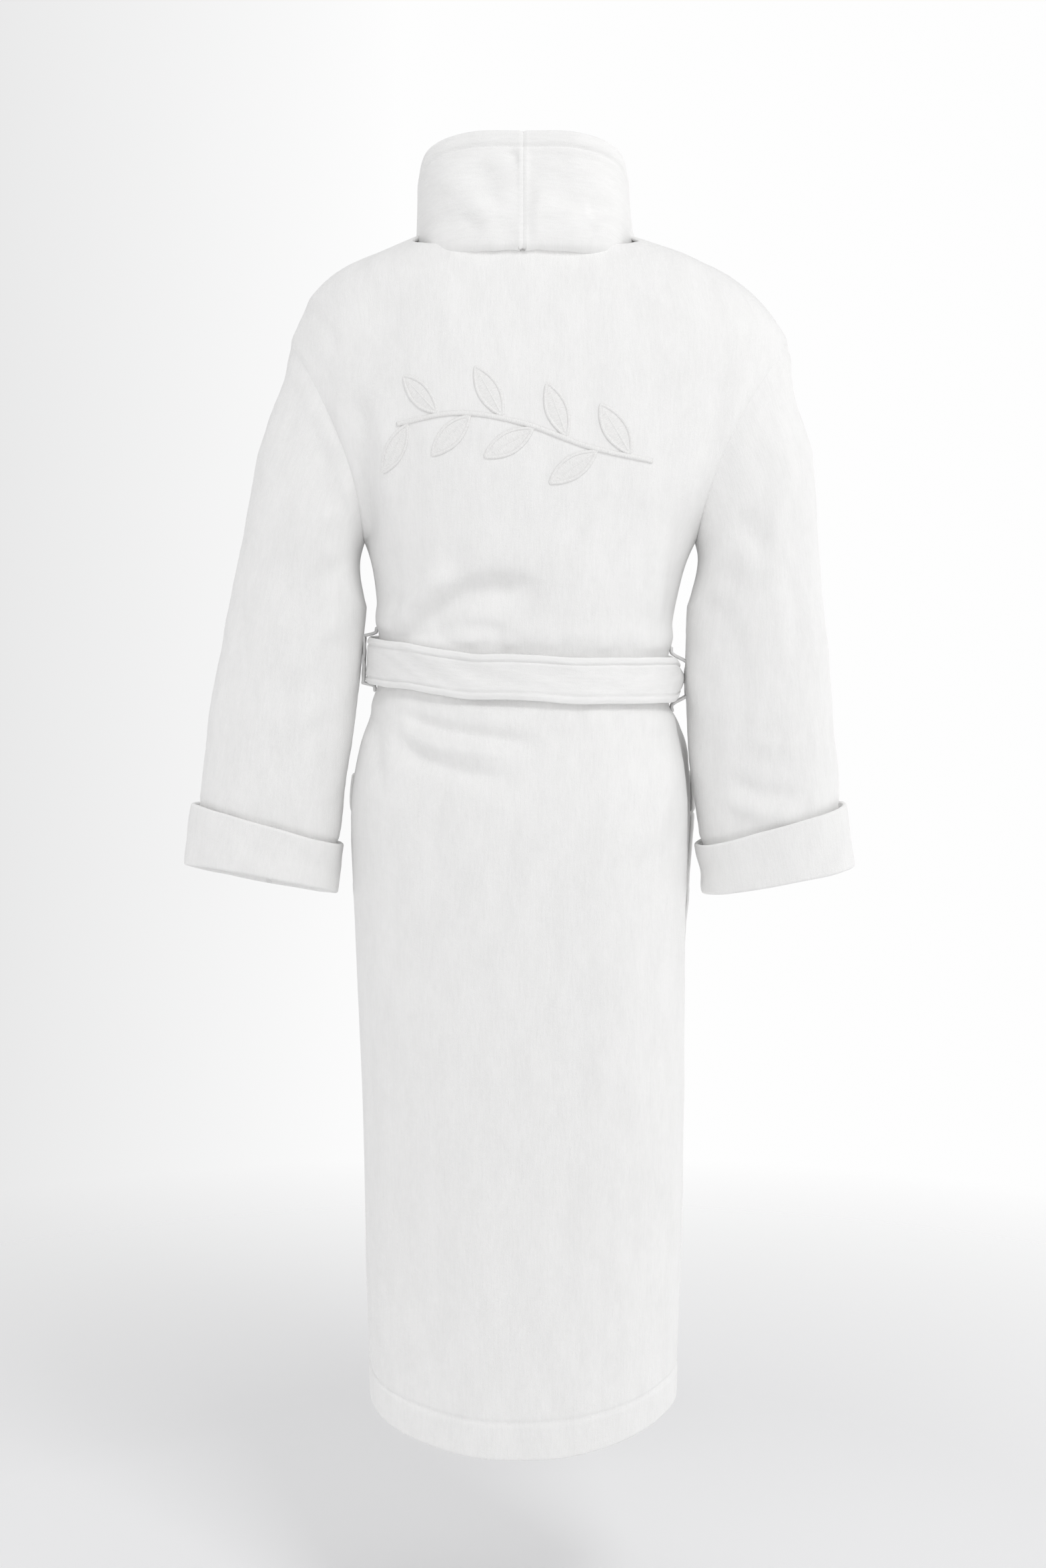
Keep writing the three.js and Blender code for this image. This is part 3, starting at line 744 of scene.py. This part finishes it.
def sleeve_folds(name, side, at):
    """Folds of a sleeve at points of its plain shape: wrinkles that run down and outwards."""
    x, y, z = at[..., 0] * side, at[..., 1], at[..., 2]
    behind = smooth(y, -5, 22)
    seed = 70 if side > 0 else 80
    slant = soft_noise(x * 0.8 + z * 0.45, z * 0.3 - x * 0.5, 20, seed) * 1.3
    slant += soft_noise(y * 0.8 + z * 0.4, z * 0.3 - y * 0.4, 26, seed + 1) * 1.3
    small = soft_noise(x - y, z / 2, 12, seed + 2) * 0.6 + soft_noise(x + y, z, 5.5, seed + 3) * 0.2
    if side > 0:
        d = fold(x, z, ((196, -200), (226, -226), (262, -262)), 12, -3.2)
        d += fold(x, z, ((186, -262), (216, -280), (252, -322)), 11, 3.0)
        d += fold(x, z, ((176, -316), (206, -334), (246, -386)), 11, -3.6)
        d += fold(x, z, ((172, -372), (204, -392), (238, -452)), 12, 3.2)
        d += fold(x, z, ((300, -330), (284, -400), (280, -470)), 14, -3.0)
        d += fold(x, z, ((186, -470), (220, -500), (262, -560)), 12, -2.8)
        d += fold(x, z, ((262, -480), (290, -540), (300, -585)), 12, 2.6)
    else:
        d = fold(x, z, ((204, -270), (224, -294), (246, -306)), 13, -4.0)
        d += fold(x, z, ((196, -300), (222, -322), (256, -336)), 14, 2.6)
        d += fold(x, z, ((174, -350), (204, -380), (226, -440)), 12, -3.0)
        d += fold(x, z, ((276, -250), (268, -340), (276, -430)), 16, -2.6)
        d += fold(x, z, ((206, -534), (240, -552), (292, -556)), 10, -4.4)
        d += fold(x, z, ((200, -552), (238, -572), (290, -578)), 9, 3.6)
        d += fold(x, z, ((214, -486), (250, -506), (296, -500)), 12, 2.6)
    return d * behind + slant + small


def sleeve(name, side):
    along = np.linspace(0, 0.985, 211)[:, None]
    angle = np.linspace(-math.pi / 2, 3 * math.pi / 2, 121)[None, :]
    plain = on_sleeve(name, side, along, angle, 0)
    held = smooth(along, 0, 0.05) * smooth(along, 0.985, 0.86)
    height = sleeve_folds(name, side, plain) * held
    height = height + 1.8 * bell(along, 0.04, 0.028) - 1.6 * smooth(along, CUFF_START - 0.03, CUFF_START)
    grid = on_sleeve(name, side, along, angle, height)
    shape = Shape().shell(grid, CLOTH, ring=True)
    piece = shape.piece(f"robe_sleeve_{name}", TERRY, nodes=(f"{name}_sleeve",))
    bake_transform(piece)
    return piece


def cuff(name, side):
    along = np.linspace(CUFF_START, 0.997, 81)[:, None]
    angle = np.linspace(-math.pi / 2, 3 * math.pi / 2, 131)[None, :]
    share = (along - CUFF_START) / (0.997 - CUFF_START)
    turn = np.cos(angle) * 60, np.sin(angle) * 60
    wave = soft_noise(turn[0], turn[1], 40, 91 + side)
    dents = soft_noise(turn[0] + 60 * share, turn[1], 26, 95 + side) * 1.2
    height = 7.6 + 0.8 * wave + dents + 1.2 * smooth(share, 0.5, 1)
    thick = 7.5 - 3.0 * smooth(share, 0.08, 0) - 2.0 * smooth(share, 0.94, 1)
    grid = on_sleeve(name, side, along + 0.003 * wave * smooth(share, 0.5, 0), angle, height)
    return Shape().shell(grid, thick, ring=True, rim=4).piece(f"robe_cuff_{name}", TERRY, f"{name}_arm",
                                                              nodes=(f"{name}_cuff",))


# -------- shawl collar
def collar_lines(side):
    """The collar's seam and its free edge, from the centre back down to the belt."""
    seam = [(0, 83, -11), (50, 80, -10.5), (86, 63, -9), (110, 14, -6), (110, -28, -5), (97, -60, -11)]
    edge = [(0, 70, 98), (52, 66, 97), (88, 45, 87), (106, -2, 67), (110, -56, 38)]
    edge.append((114 if side > 0 else 122, -92, 4))
    for z in LAPEL_ROWS:
        inner = max(front_edge_x(z) + 6, -FRONT_OVERLAP if side > 0 else LAPEL_CLEAR)
        outer = inner + lerp(LAPEL_TOP, LAPEL_END, (z - LAPEL_ROWS[0]) / (LAPEL_ROWS[-1] - LAPEL_ROWS[0]))
        proud = 20 * smooth(z, -150, -50)
        over = 13 * smooth(z, -280, -360) if side > 0 else 0.0
        ends = ((seam, inner, z, 3 + over + proud / 2), (edge, outer, z - 14, 3 + over + proud))
        for line, x, height, out in ends:
            lift = front_lift(side, np.array(x), np.array(height, float))
            p = off_body(side * angle_at(x, height, True), float(height), lift + out)
            line.append((x, p[1], p[2]))
    return curve(seam), curve(edge), len(seam) - 1


def collar_folds(side, x, z):
    """Soft dents of the standing collar, seen from behind, x towards its own side."""
    if side > 0:
        d = fold(x, z, ((80, 70), (51, 30), (20, 0)), 17, 3.0)
        d += fold(x, z, ((50, 70), (33, 42), (26, 14)), 13, -2.2)
        d += fold(x, z, ((60, 18), (46, 6), (36, -2)), 8, -1.4)
        return d + fold(x, z, ((14, 84), (9, 76), (4, 66)), 6, -1.0)
    d = fold(x, z, ((94, 26), (78, 24), (60, 18)), 10, -3.0)
    d += fold(x, z, ((100, 8), (82, 11), (62, 8)), 10, 1.8)
    d += fold(x, z, ((19, 50), (14, 24), (13, -10)), 6, 0.8)
    return d + fold(x, z, ((26, 64), (38, 44), (42, 16)), 15, -1.6)


def collar(name, side):
    seam, edge, spans = collar_lines(side)
    s = np.concatenate([np.linspace(0, 3, 121)[:-1], np.linspace(3, spans, 151)])[:, None] / spans
    h = np.linspace(0.02, 1, 66)[None, :]
    ones = np.ones_like(h)
    low, high = seam(s * ones), edge(s * ones)
    at = lerp(low, high, h[..., None])
    ahead, behind = np.minimum(1, s + 0.004), np.maximum(0, s - 0.004)
    seam_run = seam(ahead * ones) - seam(behind * ones)
    edge_run = edge(ahead * ones) - edge(behind * ones)
    run = lerp(seam_run, edge_run, h[..., None])
    run[0] = (1, 0, 0)
    outwards = unit(np.cross(run, high - low))
    width = np.linalg.norm(high - low, axis=-1)
    to_edge, to_seam = (1 - h) * width, (h - 0.02) * width
    standing = smooth(s * spans, 3.2, 1.4)
    bow = COLLAR_BOW * smooth(s * spans, STAND_SPANS, 6) * np.sin(math.pi * np.clip(h, 0, 1))
    to_centre, height = np.broadcast_arrays(at[..., 0], at[..., 2])[:2]
    puff = soft_noise(to_centre + at[..., 1], height, 34, 111 + side) * 3.0 \
        + soft_noise(to_centre + at[..., 1], height - at[..., 1], 14, 115 + side) * 0.5
    puff = puff + 1.9 * standing * collar_folds(side, to_centre, height)
    stitched = 1.2 * bell(to_edge, 6, 5) - 1.7 * bell(to_edge, 13.5, 1.7)
    back = puff * smooth(to_edge, 10, 22) * smooth(to_centre, 0, 8) + stitched
    back = back - 0.8 * smooth(to_centre, 2.5, 0) + 1.5 * bell(to_seam, 8, 9)
    back = standing * (COLLAR_THICK - 2 + back)
    turned_under = np.interp(s * spans, range(5), (8, 11, 24, 18, 0)) * smooth(to_seam, 40, 6)
    face = COLLAR_THICK * (1 - standing) + turned_under
    face = face + puff * smooth(to_edge, 6, 20) * (1 - standing) + stitched
    ends = smooth(s * spans, spans, spans - 0.12)
    thick = (face + back) * (1 - 0.30 * smooth(to_edge, 6, 0)) * (0.45 + 0.55 * ends)
    grid = at + outwards * (bow - back)[..., None]
    grid[..., 0] += 1.2 * (1 - smooth(to_centre, 0, 6)) * standing
    grid[..., 0] *= side
    lengths = cloth_lengths(grid)
    shape = Shape().shell(grid, thick, out=-side, rim=5, lengths=lengths)
    piece = shape.piece(f"robe_collar_{name}", TERRY, nodes=(f"{name}_collar", f"{name}_lapel"))
    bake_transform(piece)
    return piece


# -------- belt, knot, tails and loops
def on_belt(angle, up, out):
    x = body_x(angle, BELT_Z)
    lifted = front_lift(1, x, BELT_Z) * smooth(x, -140, -66) * smooth(np.cos(angle), 0, -0.1)
    return off_body(angle, belt_height(x) + up, BELT_CLEAR + lifted + out)


def belt():
    angle = np.linspace(-math.pi, math.pi, 421)[None, :]
    u = np.linspace(-1, 1, 45)[:, None]
    bunched = bell(angle, -math.pi / 2, 0.16)
    up = u * BELT_WIDTH / 2 * 0.93 * (1 - 0.30 * bunched)
    to_edge = (1 - np.abs(u)) * BELT_WIDTH / 2
    turn = np.cos(angle) * 150, np.sin(angle) * 150
    out = BELT_THICK - 1.6 * bell(to_edge, 7, 1.3) - 1.4 * smooth(to_edge, 3, 0)
    out = out + 2.5 * np.abs(np.sin(angle)) ** 6 + 5.0 * bunched * (1 - u**2)
    out = out + soft_noise(turn[0] + 40 * u, turn[1] - 40 * u, 30, 131) * 1.0
    out = out + soft_noise(turn[0] + 9 * u, turn[1] + 9 * u, 8, 132) * 0.35
    up = up + soft_noise(turn[0], turn[1], 45, 133) * 1.3
    grid = on_belt(angle, up, out)
    thick = np.broadcast_to(BELT_THICK - 1.5 - 3.0 * smooth(to_edge, 6, 0), out.shape)
    shape = Shape().shell(grid, thick, ring=True, lengths=turned(cloth_lengths(grid)))
    return shape.piece("robe_belt", TERRY, "garment", nodes=("belt",))


def belt_loop(name, side):
    v = np.linspace(0, 1, 61)[:, None]
    u = np.linspace(-1, 1, 11)[None, :]
    up = (v - 0.5) * LOOP_HEIGHT
    stand = smooth(np.abs(up), LOOP_HEIGHT / 2 - 3, BELT_WIDTH / 2 - (0 if side > 0 else 8))
    out = lerp(0.6, BELT_CLEAR + BELT_THICK + (3.6 if side > 0 else 8.2), stand) + 3
    z = belt_height(side * half_width(np.array(BELT_Z))) + up
    at = on_body(side * math.pi / 2, z * np.ones_like(u))
    crown = 0.6 * (1 - u**2) + 0.5 * soft_noise(u * 6, up, 7, 141 + side)
    grid = at + np.stack([side * (out + crown), u * 6 * np.ones_like(v), np.zeros_like(u * v)], -1)
    shape = Shape().shell(grid, 3)
    return shape.piece(f"robe_belt_loop_{name}", TERRY, "garment", nodes=(f"{name}_belt_loop",))


def knot():
    """A strap of the belt wrapped once round the crossing, gathered into soft creases."""
    shape = Shape()
    turn = np.linspace(0, 2 * math.pi, 121)[None, :]
    u = np.linspace(-1, 1, 35)[:, None]
    lean = math.radians(-14)
    round_off = np.sqrt(np.maximum(0.0, 1 - (np.abs(u) * 0.93) ** 4))
    crease = 1.5 * np.sin(u * 8 + 1.6 * np.sin(turn)) * (1 - u**2)
    crease = crease + soft_noise(u * 20, 30 * np.cos(turn), 11, 151)
    across = u * 21 + 1.5 * np.sin(turn * 2)
    front = 1 + 0.10 * smooth(np.sin(turn), -0.2, 1)
    y = (KNOT_HALF[1] * front * round_off + crease) * np.sin(turn)
    z = (KNOT_HALF[2] * (0.86 + 0.14 * round_off) + crease) * np.cos(turn)
    at = np.stack([across * math.cos(lean) - z * math.sin(lean), -y,
                   across * math.sin(lean) + z * math.cos(lean)], -1)
    shape.shell(at + KNOT, 6 * (0.4 + 0.6 * round_off) * np.ones_like(turn), ring=True, rim=4)
    swell = np.linspace(0, math.pi, 31)[:, None]
    ball = np.stack([-np.cos(swell) * 33 * np.ones_like(turn),
                     11.5 * np.sin(swell) ** 0.7 * np.sin(turn) * (1 + 0.06 * np.sin(5 * turn)),
                     21 * np.sin(swell) ** 0.6 * np.cos(turn) * (1 + 0.05 * np.sin(4 * turn + 1))], -1)
    ball = ball[1:-1] + KNOT
    shape.shell(ball, 2.0, ring=True, rim=2)
    return shape.piece("robe_belt_knot", TERRY, "garment", nodes=("belt_knot",))


def tail(name, side):
    v = np.linspace(0, 1, 181)[:, None]
    u = np.linspace(-1, 1, 37)[None, :]
    above = 26.0
    down = v * (TAIL_LENGTH + above) - above
    share = np.clip(down / TAIL_LENGTH, 0, 1)
    width = 50 * lerp(0.62, 1, smooth(down, -10, 75))
    x = 2 + 38 * share + width / 2 * (1 + u * 0.96)
    x = x - 12 * smooth(down, 20, -20)
    gather = np.sin(u * 6.5 + 0.4) * 2.6 * smooth(down, 120, 0)
    gather = gather + np.sin(u * 3.2) * 1.6 * smooth(down, 260, 60)
    y = KNOT[1] - 3 + 3 * np.sin(3 * math.pi * (1 - share)) - 7 - gather
    y = y + 6 * smooth(down, 10, -18) + soft_noise(u * 25 + side * 200, down / 2, 22, 161) * 1.2
    to_edge = np.minimum((1 - np.abs(u)) * width / 2, TAIL_LENGTH - down)
    y = y + 1.5 * bell(to_edge, 7, 1.3) * smooth(down, 10, 60) + 1.3 * smooth(to_edge, 3, 0)
    y = y + 1.2 * bell(TAIL_LENGTH - down, 18, 1.5)
    z = TAIL_TOP - down + 0 * u
    grid = np.stack([side * x, y, z], -1)
    thick = np.broadcast_to(6.5 - 2.4 * smooth(to_edge, 6, 0), x.shape)
    shape = Shape().shell(grid, thick, out=side, rim=3)
    piece = shape.piece(f"robe_belt_tail_{name}", TERRY, nodes=(f"{name}_belt_tail",))
    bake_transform(piece)
    return piece


# -------- hanging loop, tape and labels
def hanging_loop():
    corner, half, drop = 8.0, 27.0, 33.0
    leg = [(half, 0), (half, -drop / 2), (half, corner - drop),
           (half - 2.3, corner - 5.7 - drop), (half - corner, -drop)]
    path = leg + [(0, -drop)] + [(-x, z) for x, z in reversed(leg)]
    line = curve(path)(np.linspace(0, 1, 121))
    u = np.linspace(0, 1, 9)
    at = np.empty((len(line), len(u), 3))
    at[..., 0] = line[:, None, 0]
    at[..., 1] = 56 + 8 * u[None, :]
    at[..., 2] = -9 + line[:, None, 1] + 0.4 * soft_noise(line[:, None, 0], u[None, :] * 8, 9, 171)
    n = normals(at)
    out = np.sign((n[..., 2] * (at[..., 2] + 20) + n[..., 0] * at[..., 0]).mean())
    shape = Shape().shell(at + n * out, 1.9, out=out)
    return shape.piece("robe_hanging_loop", TAPE, "hanger", "cotton_tape", ("hanging_loop",))


def inner_strip(name, half, top, height, thick, material, slot, node, cols, rows):
    """A strip sewn to the inner face of the back; its own outer face is the one that shows, inside."""
    x = np.linspace(-half, half, cols)[None, :]
    v = np.linspace(0, 1, rows)[:, None]
    z = top(x) - height * (1 - v)
    ruffle = 0.25 * soft_noise(x, z, 10, 181)
    grid = off_body(angle_at(x, z), z, -CLOTH - 1 - thick + ruffle)
    return Shape().shell(grid, thick, out=-1 if normals(grid)[..., 1].mean() > 0 else 1).piece(
        name, material, "garment", slot, (node,))


def care_label():
    u = np.linspace(-1, 1, 15)[None, :]
    v = np.linspace(0, 1, 31)[:, None]
    at = on_body(math.pi / 2, -640 - 50 * (1 - v) * np.ones_like(u))
    curl = 2.5 * (1 - v) ** 2 * np.sin(u * 1.4 + 0.6)
    grid = at + np.stack([-CLOTH - 2.8 - curl, u * 13 + 0 * v, 0 * u * v], -1)
    return Shape().shell(grid, 0.7, out=-1 if normals(grid)[..., 0].mean() > 0 else 1).piece(
        "robe_care_label", SATIN, "garment", "satin_label", ("care_label",))


# -------- embroidered sprig
STEM = curve(((-120, -222), (-62, -208), (0, -186), (62, -176), (132, -186)))
LEAF_COUNT, LEAF_LENGTH, LEAF_WIDTH, LEAF_LEAN = 8, 52.0, 19.0, 0.85


def back_y(x, z):
    """How far back the folded cloth of the back lies at (x, z)."""
    x, z = np.broadcast_arrays(x, z)
    heights = BACK[:, BACK.shape[1] // 2, 2]
    row = np.clip(np.searchsorted(heights, z) - 1, 0, len(heights) - 2)
    share = (z - heights[row]) / (heights[row + 1] - heights[row])
    found = np.empty(x.shape)
    for i in np.unique(row):
        here = row == i
        low, high = (np.interp(x[here], BACK[k, ::-1, 0], BACK[k, ::-1, 1]) for k in (i, i + 1))
        found[here] = lerp(low, high, share[here])
    return found


def on_back(x, z, lift):
    """Points over the folded cloth of the back, and the way it faces there."""
    y, step = back_y(x, z), 1.5
    slope_x = (back_y(x + step, z) - back_y(x - step, z)) / (2 * step)
    slope_z = (back_y(x, z + step) - back_y(x, z - step)) / (2 * step)
    away = unit(np.stack([-slope_x, np.ones_like(y), -slope_z], -1))
    return np.stack([x, y, z], -1) + away * np.broadcast_to(lift, y.shape)[..., None], away


def stitched_cord(shape, x, z, radius, closed=False):
    at, lift = on_back(x, z, 0.6)
    shape.cord(at, lift, radius, flat=0.62, closed=closed)


def sprig():
    t = np.linspace(0, 1, 161)
    stem = STEM(t)
    shape = Shape()
    stitched_cord(shape, stem[:, 0], stem[:, 1], 2.3 + 0.4 * np.sin(math.pi * t))
    shape.piece("robe_sprig_stem", THREAD, "garment", "embroidery_thread", ("embroidered_stem",))
    for i in range(LEAF_COUNT):
        share = (i + 0.6) / LEAF_COUNT
        foot = STEM(share)
        run = STEM(share + 0.002) - STEM(share - 0.002)
        heading = math.atan2(run[1], run[0]) + (-1 if i % 2 else 1) * LEAF_LEAN
        along = np.array((math.cos(heading), math.sin(heading)))
        across = np.array((-along[1], along[0]))
        turn = np.linspace(0, 2 * math.pi, 120, endpoint=False)
        v = 0.5 - 0.5 * np.cos(turn)
        off = np.sign(np.sin(turn)) * (0.4 + LEAF_WIDTH / 2 * np.sin(math.pi * v) ** 0.8)
        off = off * (np.abs(np.sin(turn)) > 1e-6)
        outline = foot + (4.5 + v * LEAF_LENGTH)[:, None] * along + off[:, None] * across
        shape = Shape()
        stitched_cord(shape, outline[:, 0], outline[:, 1], 1.7, closed=True)
        vein = np.linspace(-0.08, 0.86, 40)
        middle = foot + (4.5 + vein * LEAF_LENGTH)[:, None] * along
        stitched_cord(shape, middle[:, 0], middle[:, 1], 1.5 - 0.8 * vein)
        u = np.linspace(-1, 1, 15)[None, :]
        w = np.linspace(0.02, 0.98, 41)[:, None]
        reach = 0.4 + (LEAF_WIDTH / 2 - 0.6) * np.sin(math.pi * w) ** 0.8
        inside = foot + (4.5 + w * LEAF_LENGTH)[..., None] * along + (u * reach)[..., None] * across
        at, lift = on_back(inside[..., 0], inside[..., 1], 0.5 + 0.5 * (1 - u**2))
        shape.shell(at, 1.2, out=1 if (normals(at) * lift).sum(-1).mean() > 0 else -1, rim=1)
        shape.piece(f"robe_sprig_leaf_{i + 1}", THREAD, "garment", "embroidery_thread",
                    (f"embroidered_leaf_{i + 1}",))


# -------- camera, light and floor
def area_light(name, place, target, size, power, colour=(1, 1, 1)):
    data = bpy.data.lights.new(name, "AREA")
    data.shape = "SQUARE"
    data.size = size
    data.energy = power
    data.color = colour
    light = bpy.data.objects.new(name, data)
    bpy.context.scene.collection.objects.link(light)
    light.location = place
    light.rotation_euler = (Vector(target) - Vector(place)).to_track_quat("-Z", "Y").to_euler()


def studio():
    scene = bpy.context.scene
    scene.view_settings.view_transform = "Standard"
    distance, eye, pitch, focal = 2.4, -0.325, 5.34, 3480
    data = bpy.data.cameras.new("camera")
    data.sensor_width = 36
    data.lens = focal / 2351 * 36
    data.clip_end = 200
    camera = bpy.data.objects.new("camera", data)
    scene.collection.objects.link(camera)
    camera.location = (0, distance, eye)
    camera.rotation_euler = (math.radians(90 - pitch), 0, math.pi)
    scene.camera = camera
    world = bpy.data.worlds.new("studio")
    scene.world = world
    world.use_nodes = True
    tree = world.node_tree
    where = tree.nodes.new("ShaderNodeTexCoord")
    split = tree.nodes.new("ShaderNodeSeparateXYZ")
    tree.links.new(where.outputs["Generated"], split.inputs["Vector"])
    leftward = combine(tree, "MAXIMUM", combine(tree, "SUBTRACT", split.outputs["X"], 0.05), 0)
    leftward = combine(tree, "MINIMUM", leftward, 0.18)
    forward = combine(tree, "MAXIMUM", combine(tree, "ADD", split.outputs["Y"], 0.25), 0)
    shade = combine(tree, "ADD", combine(tree, "MULTIPLY", leftward, 1.9),
                    combine(tree, "MULTIPLY", forward, 0.42))
    upward = combine(tree, "MAXIMUM", combine(tree, "SUBTRACT", split.outputs["Z"], 0.3), 0)
    shade = combine(tree, "ADD", shade, upward)
    add_colours(tree, tree.nodes["Background"], shade, (1, 1, 1), (0.45, 0.45, 0.455), 0.0, 1.0, "Color")
    tree.nodes["Background"].inputs["Strength"].default_value = 0.99
    area_light("key", (-1.2, 2.5, 2.4), (0, 0, -0.3), 1.2, 40)
    area_light("left_edge", (2.3, -0.2, -0.4), (0, 0, -0.6), 1.8, 7)
    area_light("right_edge", (-2.3, -0.2, -0.4), (0, 0, -0.6), 1.8, 6)
    area_light("fill", (1.2, 2.7, 0.2), (0, 0, -0.5), 2.0, 10)
    paper, tree, surface, _ = shader("paper", (0.93, 0.93, 0.935), 0.9)
    where = tree.nodes.new("ShaderNodeTexCoord")
    length = tree.nodes.new("ShaderNodeVectorMath")
    length.operation = "LENGTH"
    tree.links.new(where.outputs["Object"], length.inputs[0])
    add_colours(tree, surface, combine(tree, "MULTIPLY", length.outputs["Value"], 0.4), (1, 1, 1), (0, 0, 0),
                0.3, 0.8, "Alpha")
    reach = 2500
    corners = [(-reach, -reach, 0), (reach, -reach, 0), (reach, reach, 0), (-reach, reach, 0)]
    floor = make_mesh("floor", np.array(corners, float), np.array([[0, 1, 2, 3]]), np.zeros((4, 3)), paper)
    floor.location = (0, 0, -1.46)


# -------- the robe
back_panel()
for name, side in SIDES:
    front_panel(name, side)
    pocket(name, side)
    sleeve(name, side)
    cuff(name, side)
    collar(name, side)
    belt_loop(name, side)
    tail(name, side)
belt()
knot()
hanging_loop()
inner_strip("robe_neck_tape", 77, lambda x: NECK_BACK_Z - 2 + (x / 103) ** 2 * 23, 12, 1.0, TAPE,
            "cotton_tape", "neck_tape", 91, 9)
inner_strip("robe_neck_label", 30, lambda x: -30 + 0 * x, 38, 0.8, SATIN, "satin_label", "neck_label", 41, 27)
care_label()
sprig()
studio()
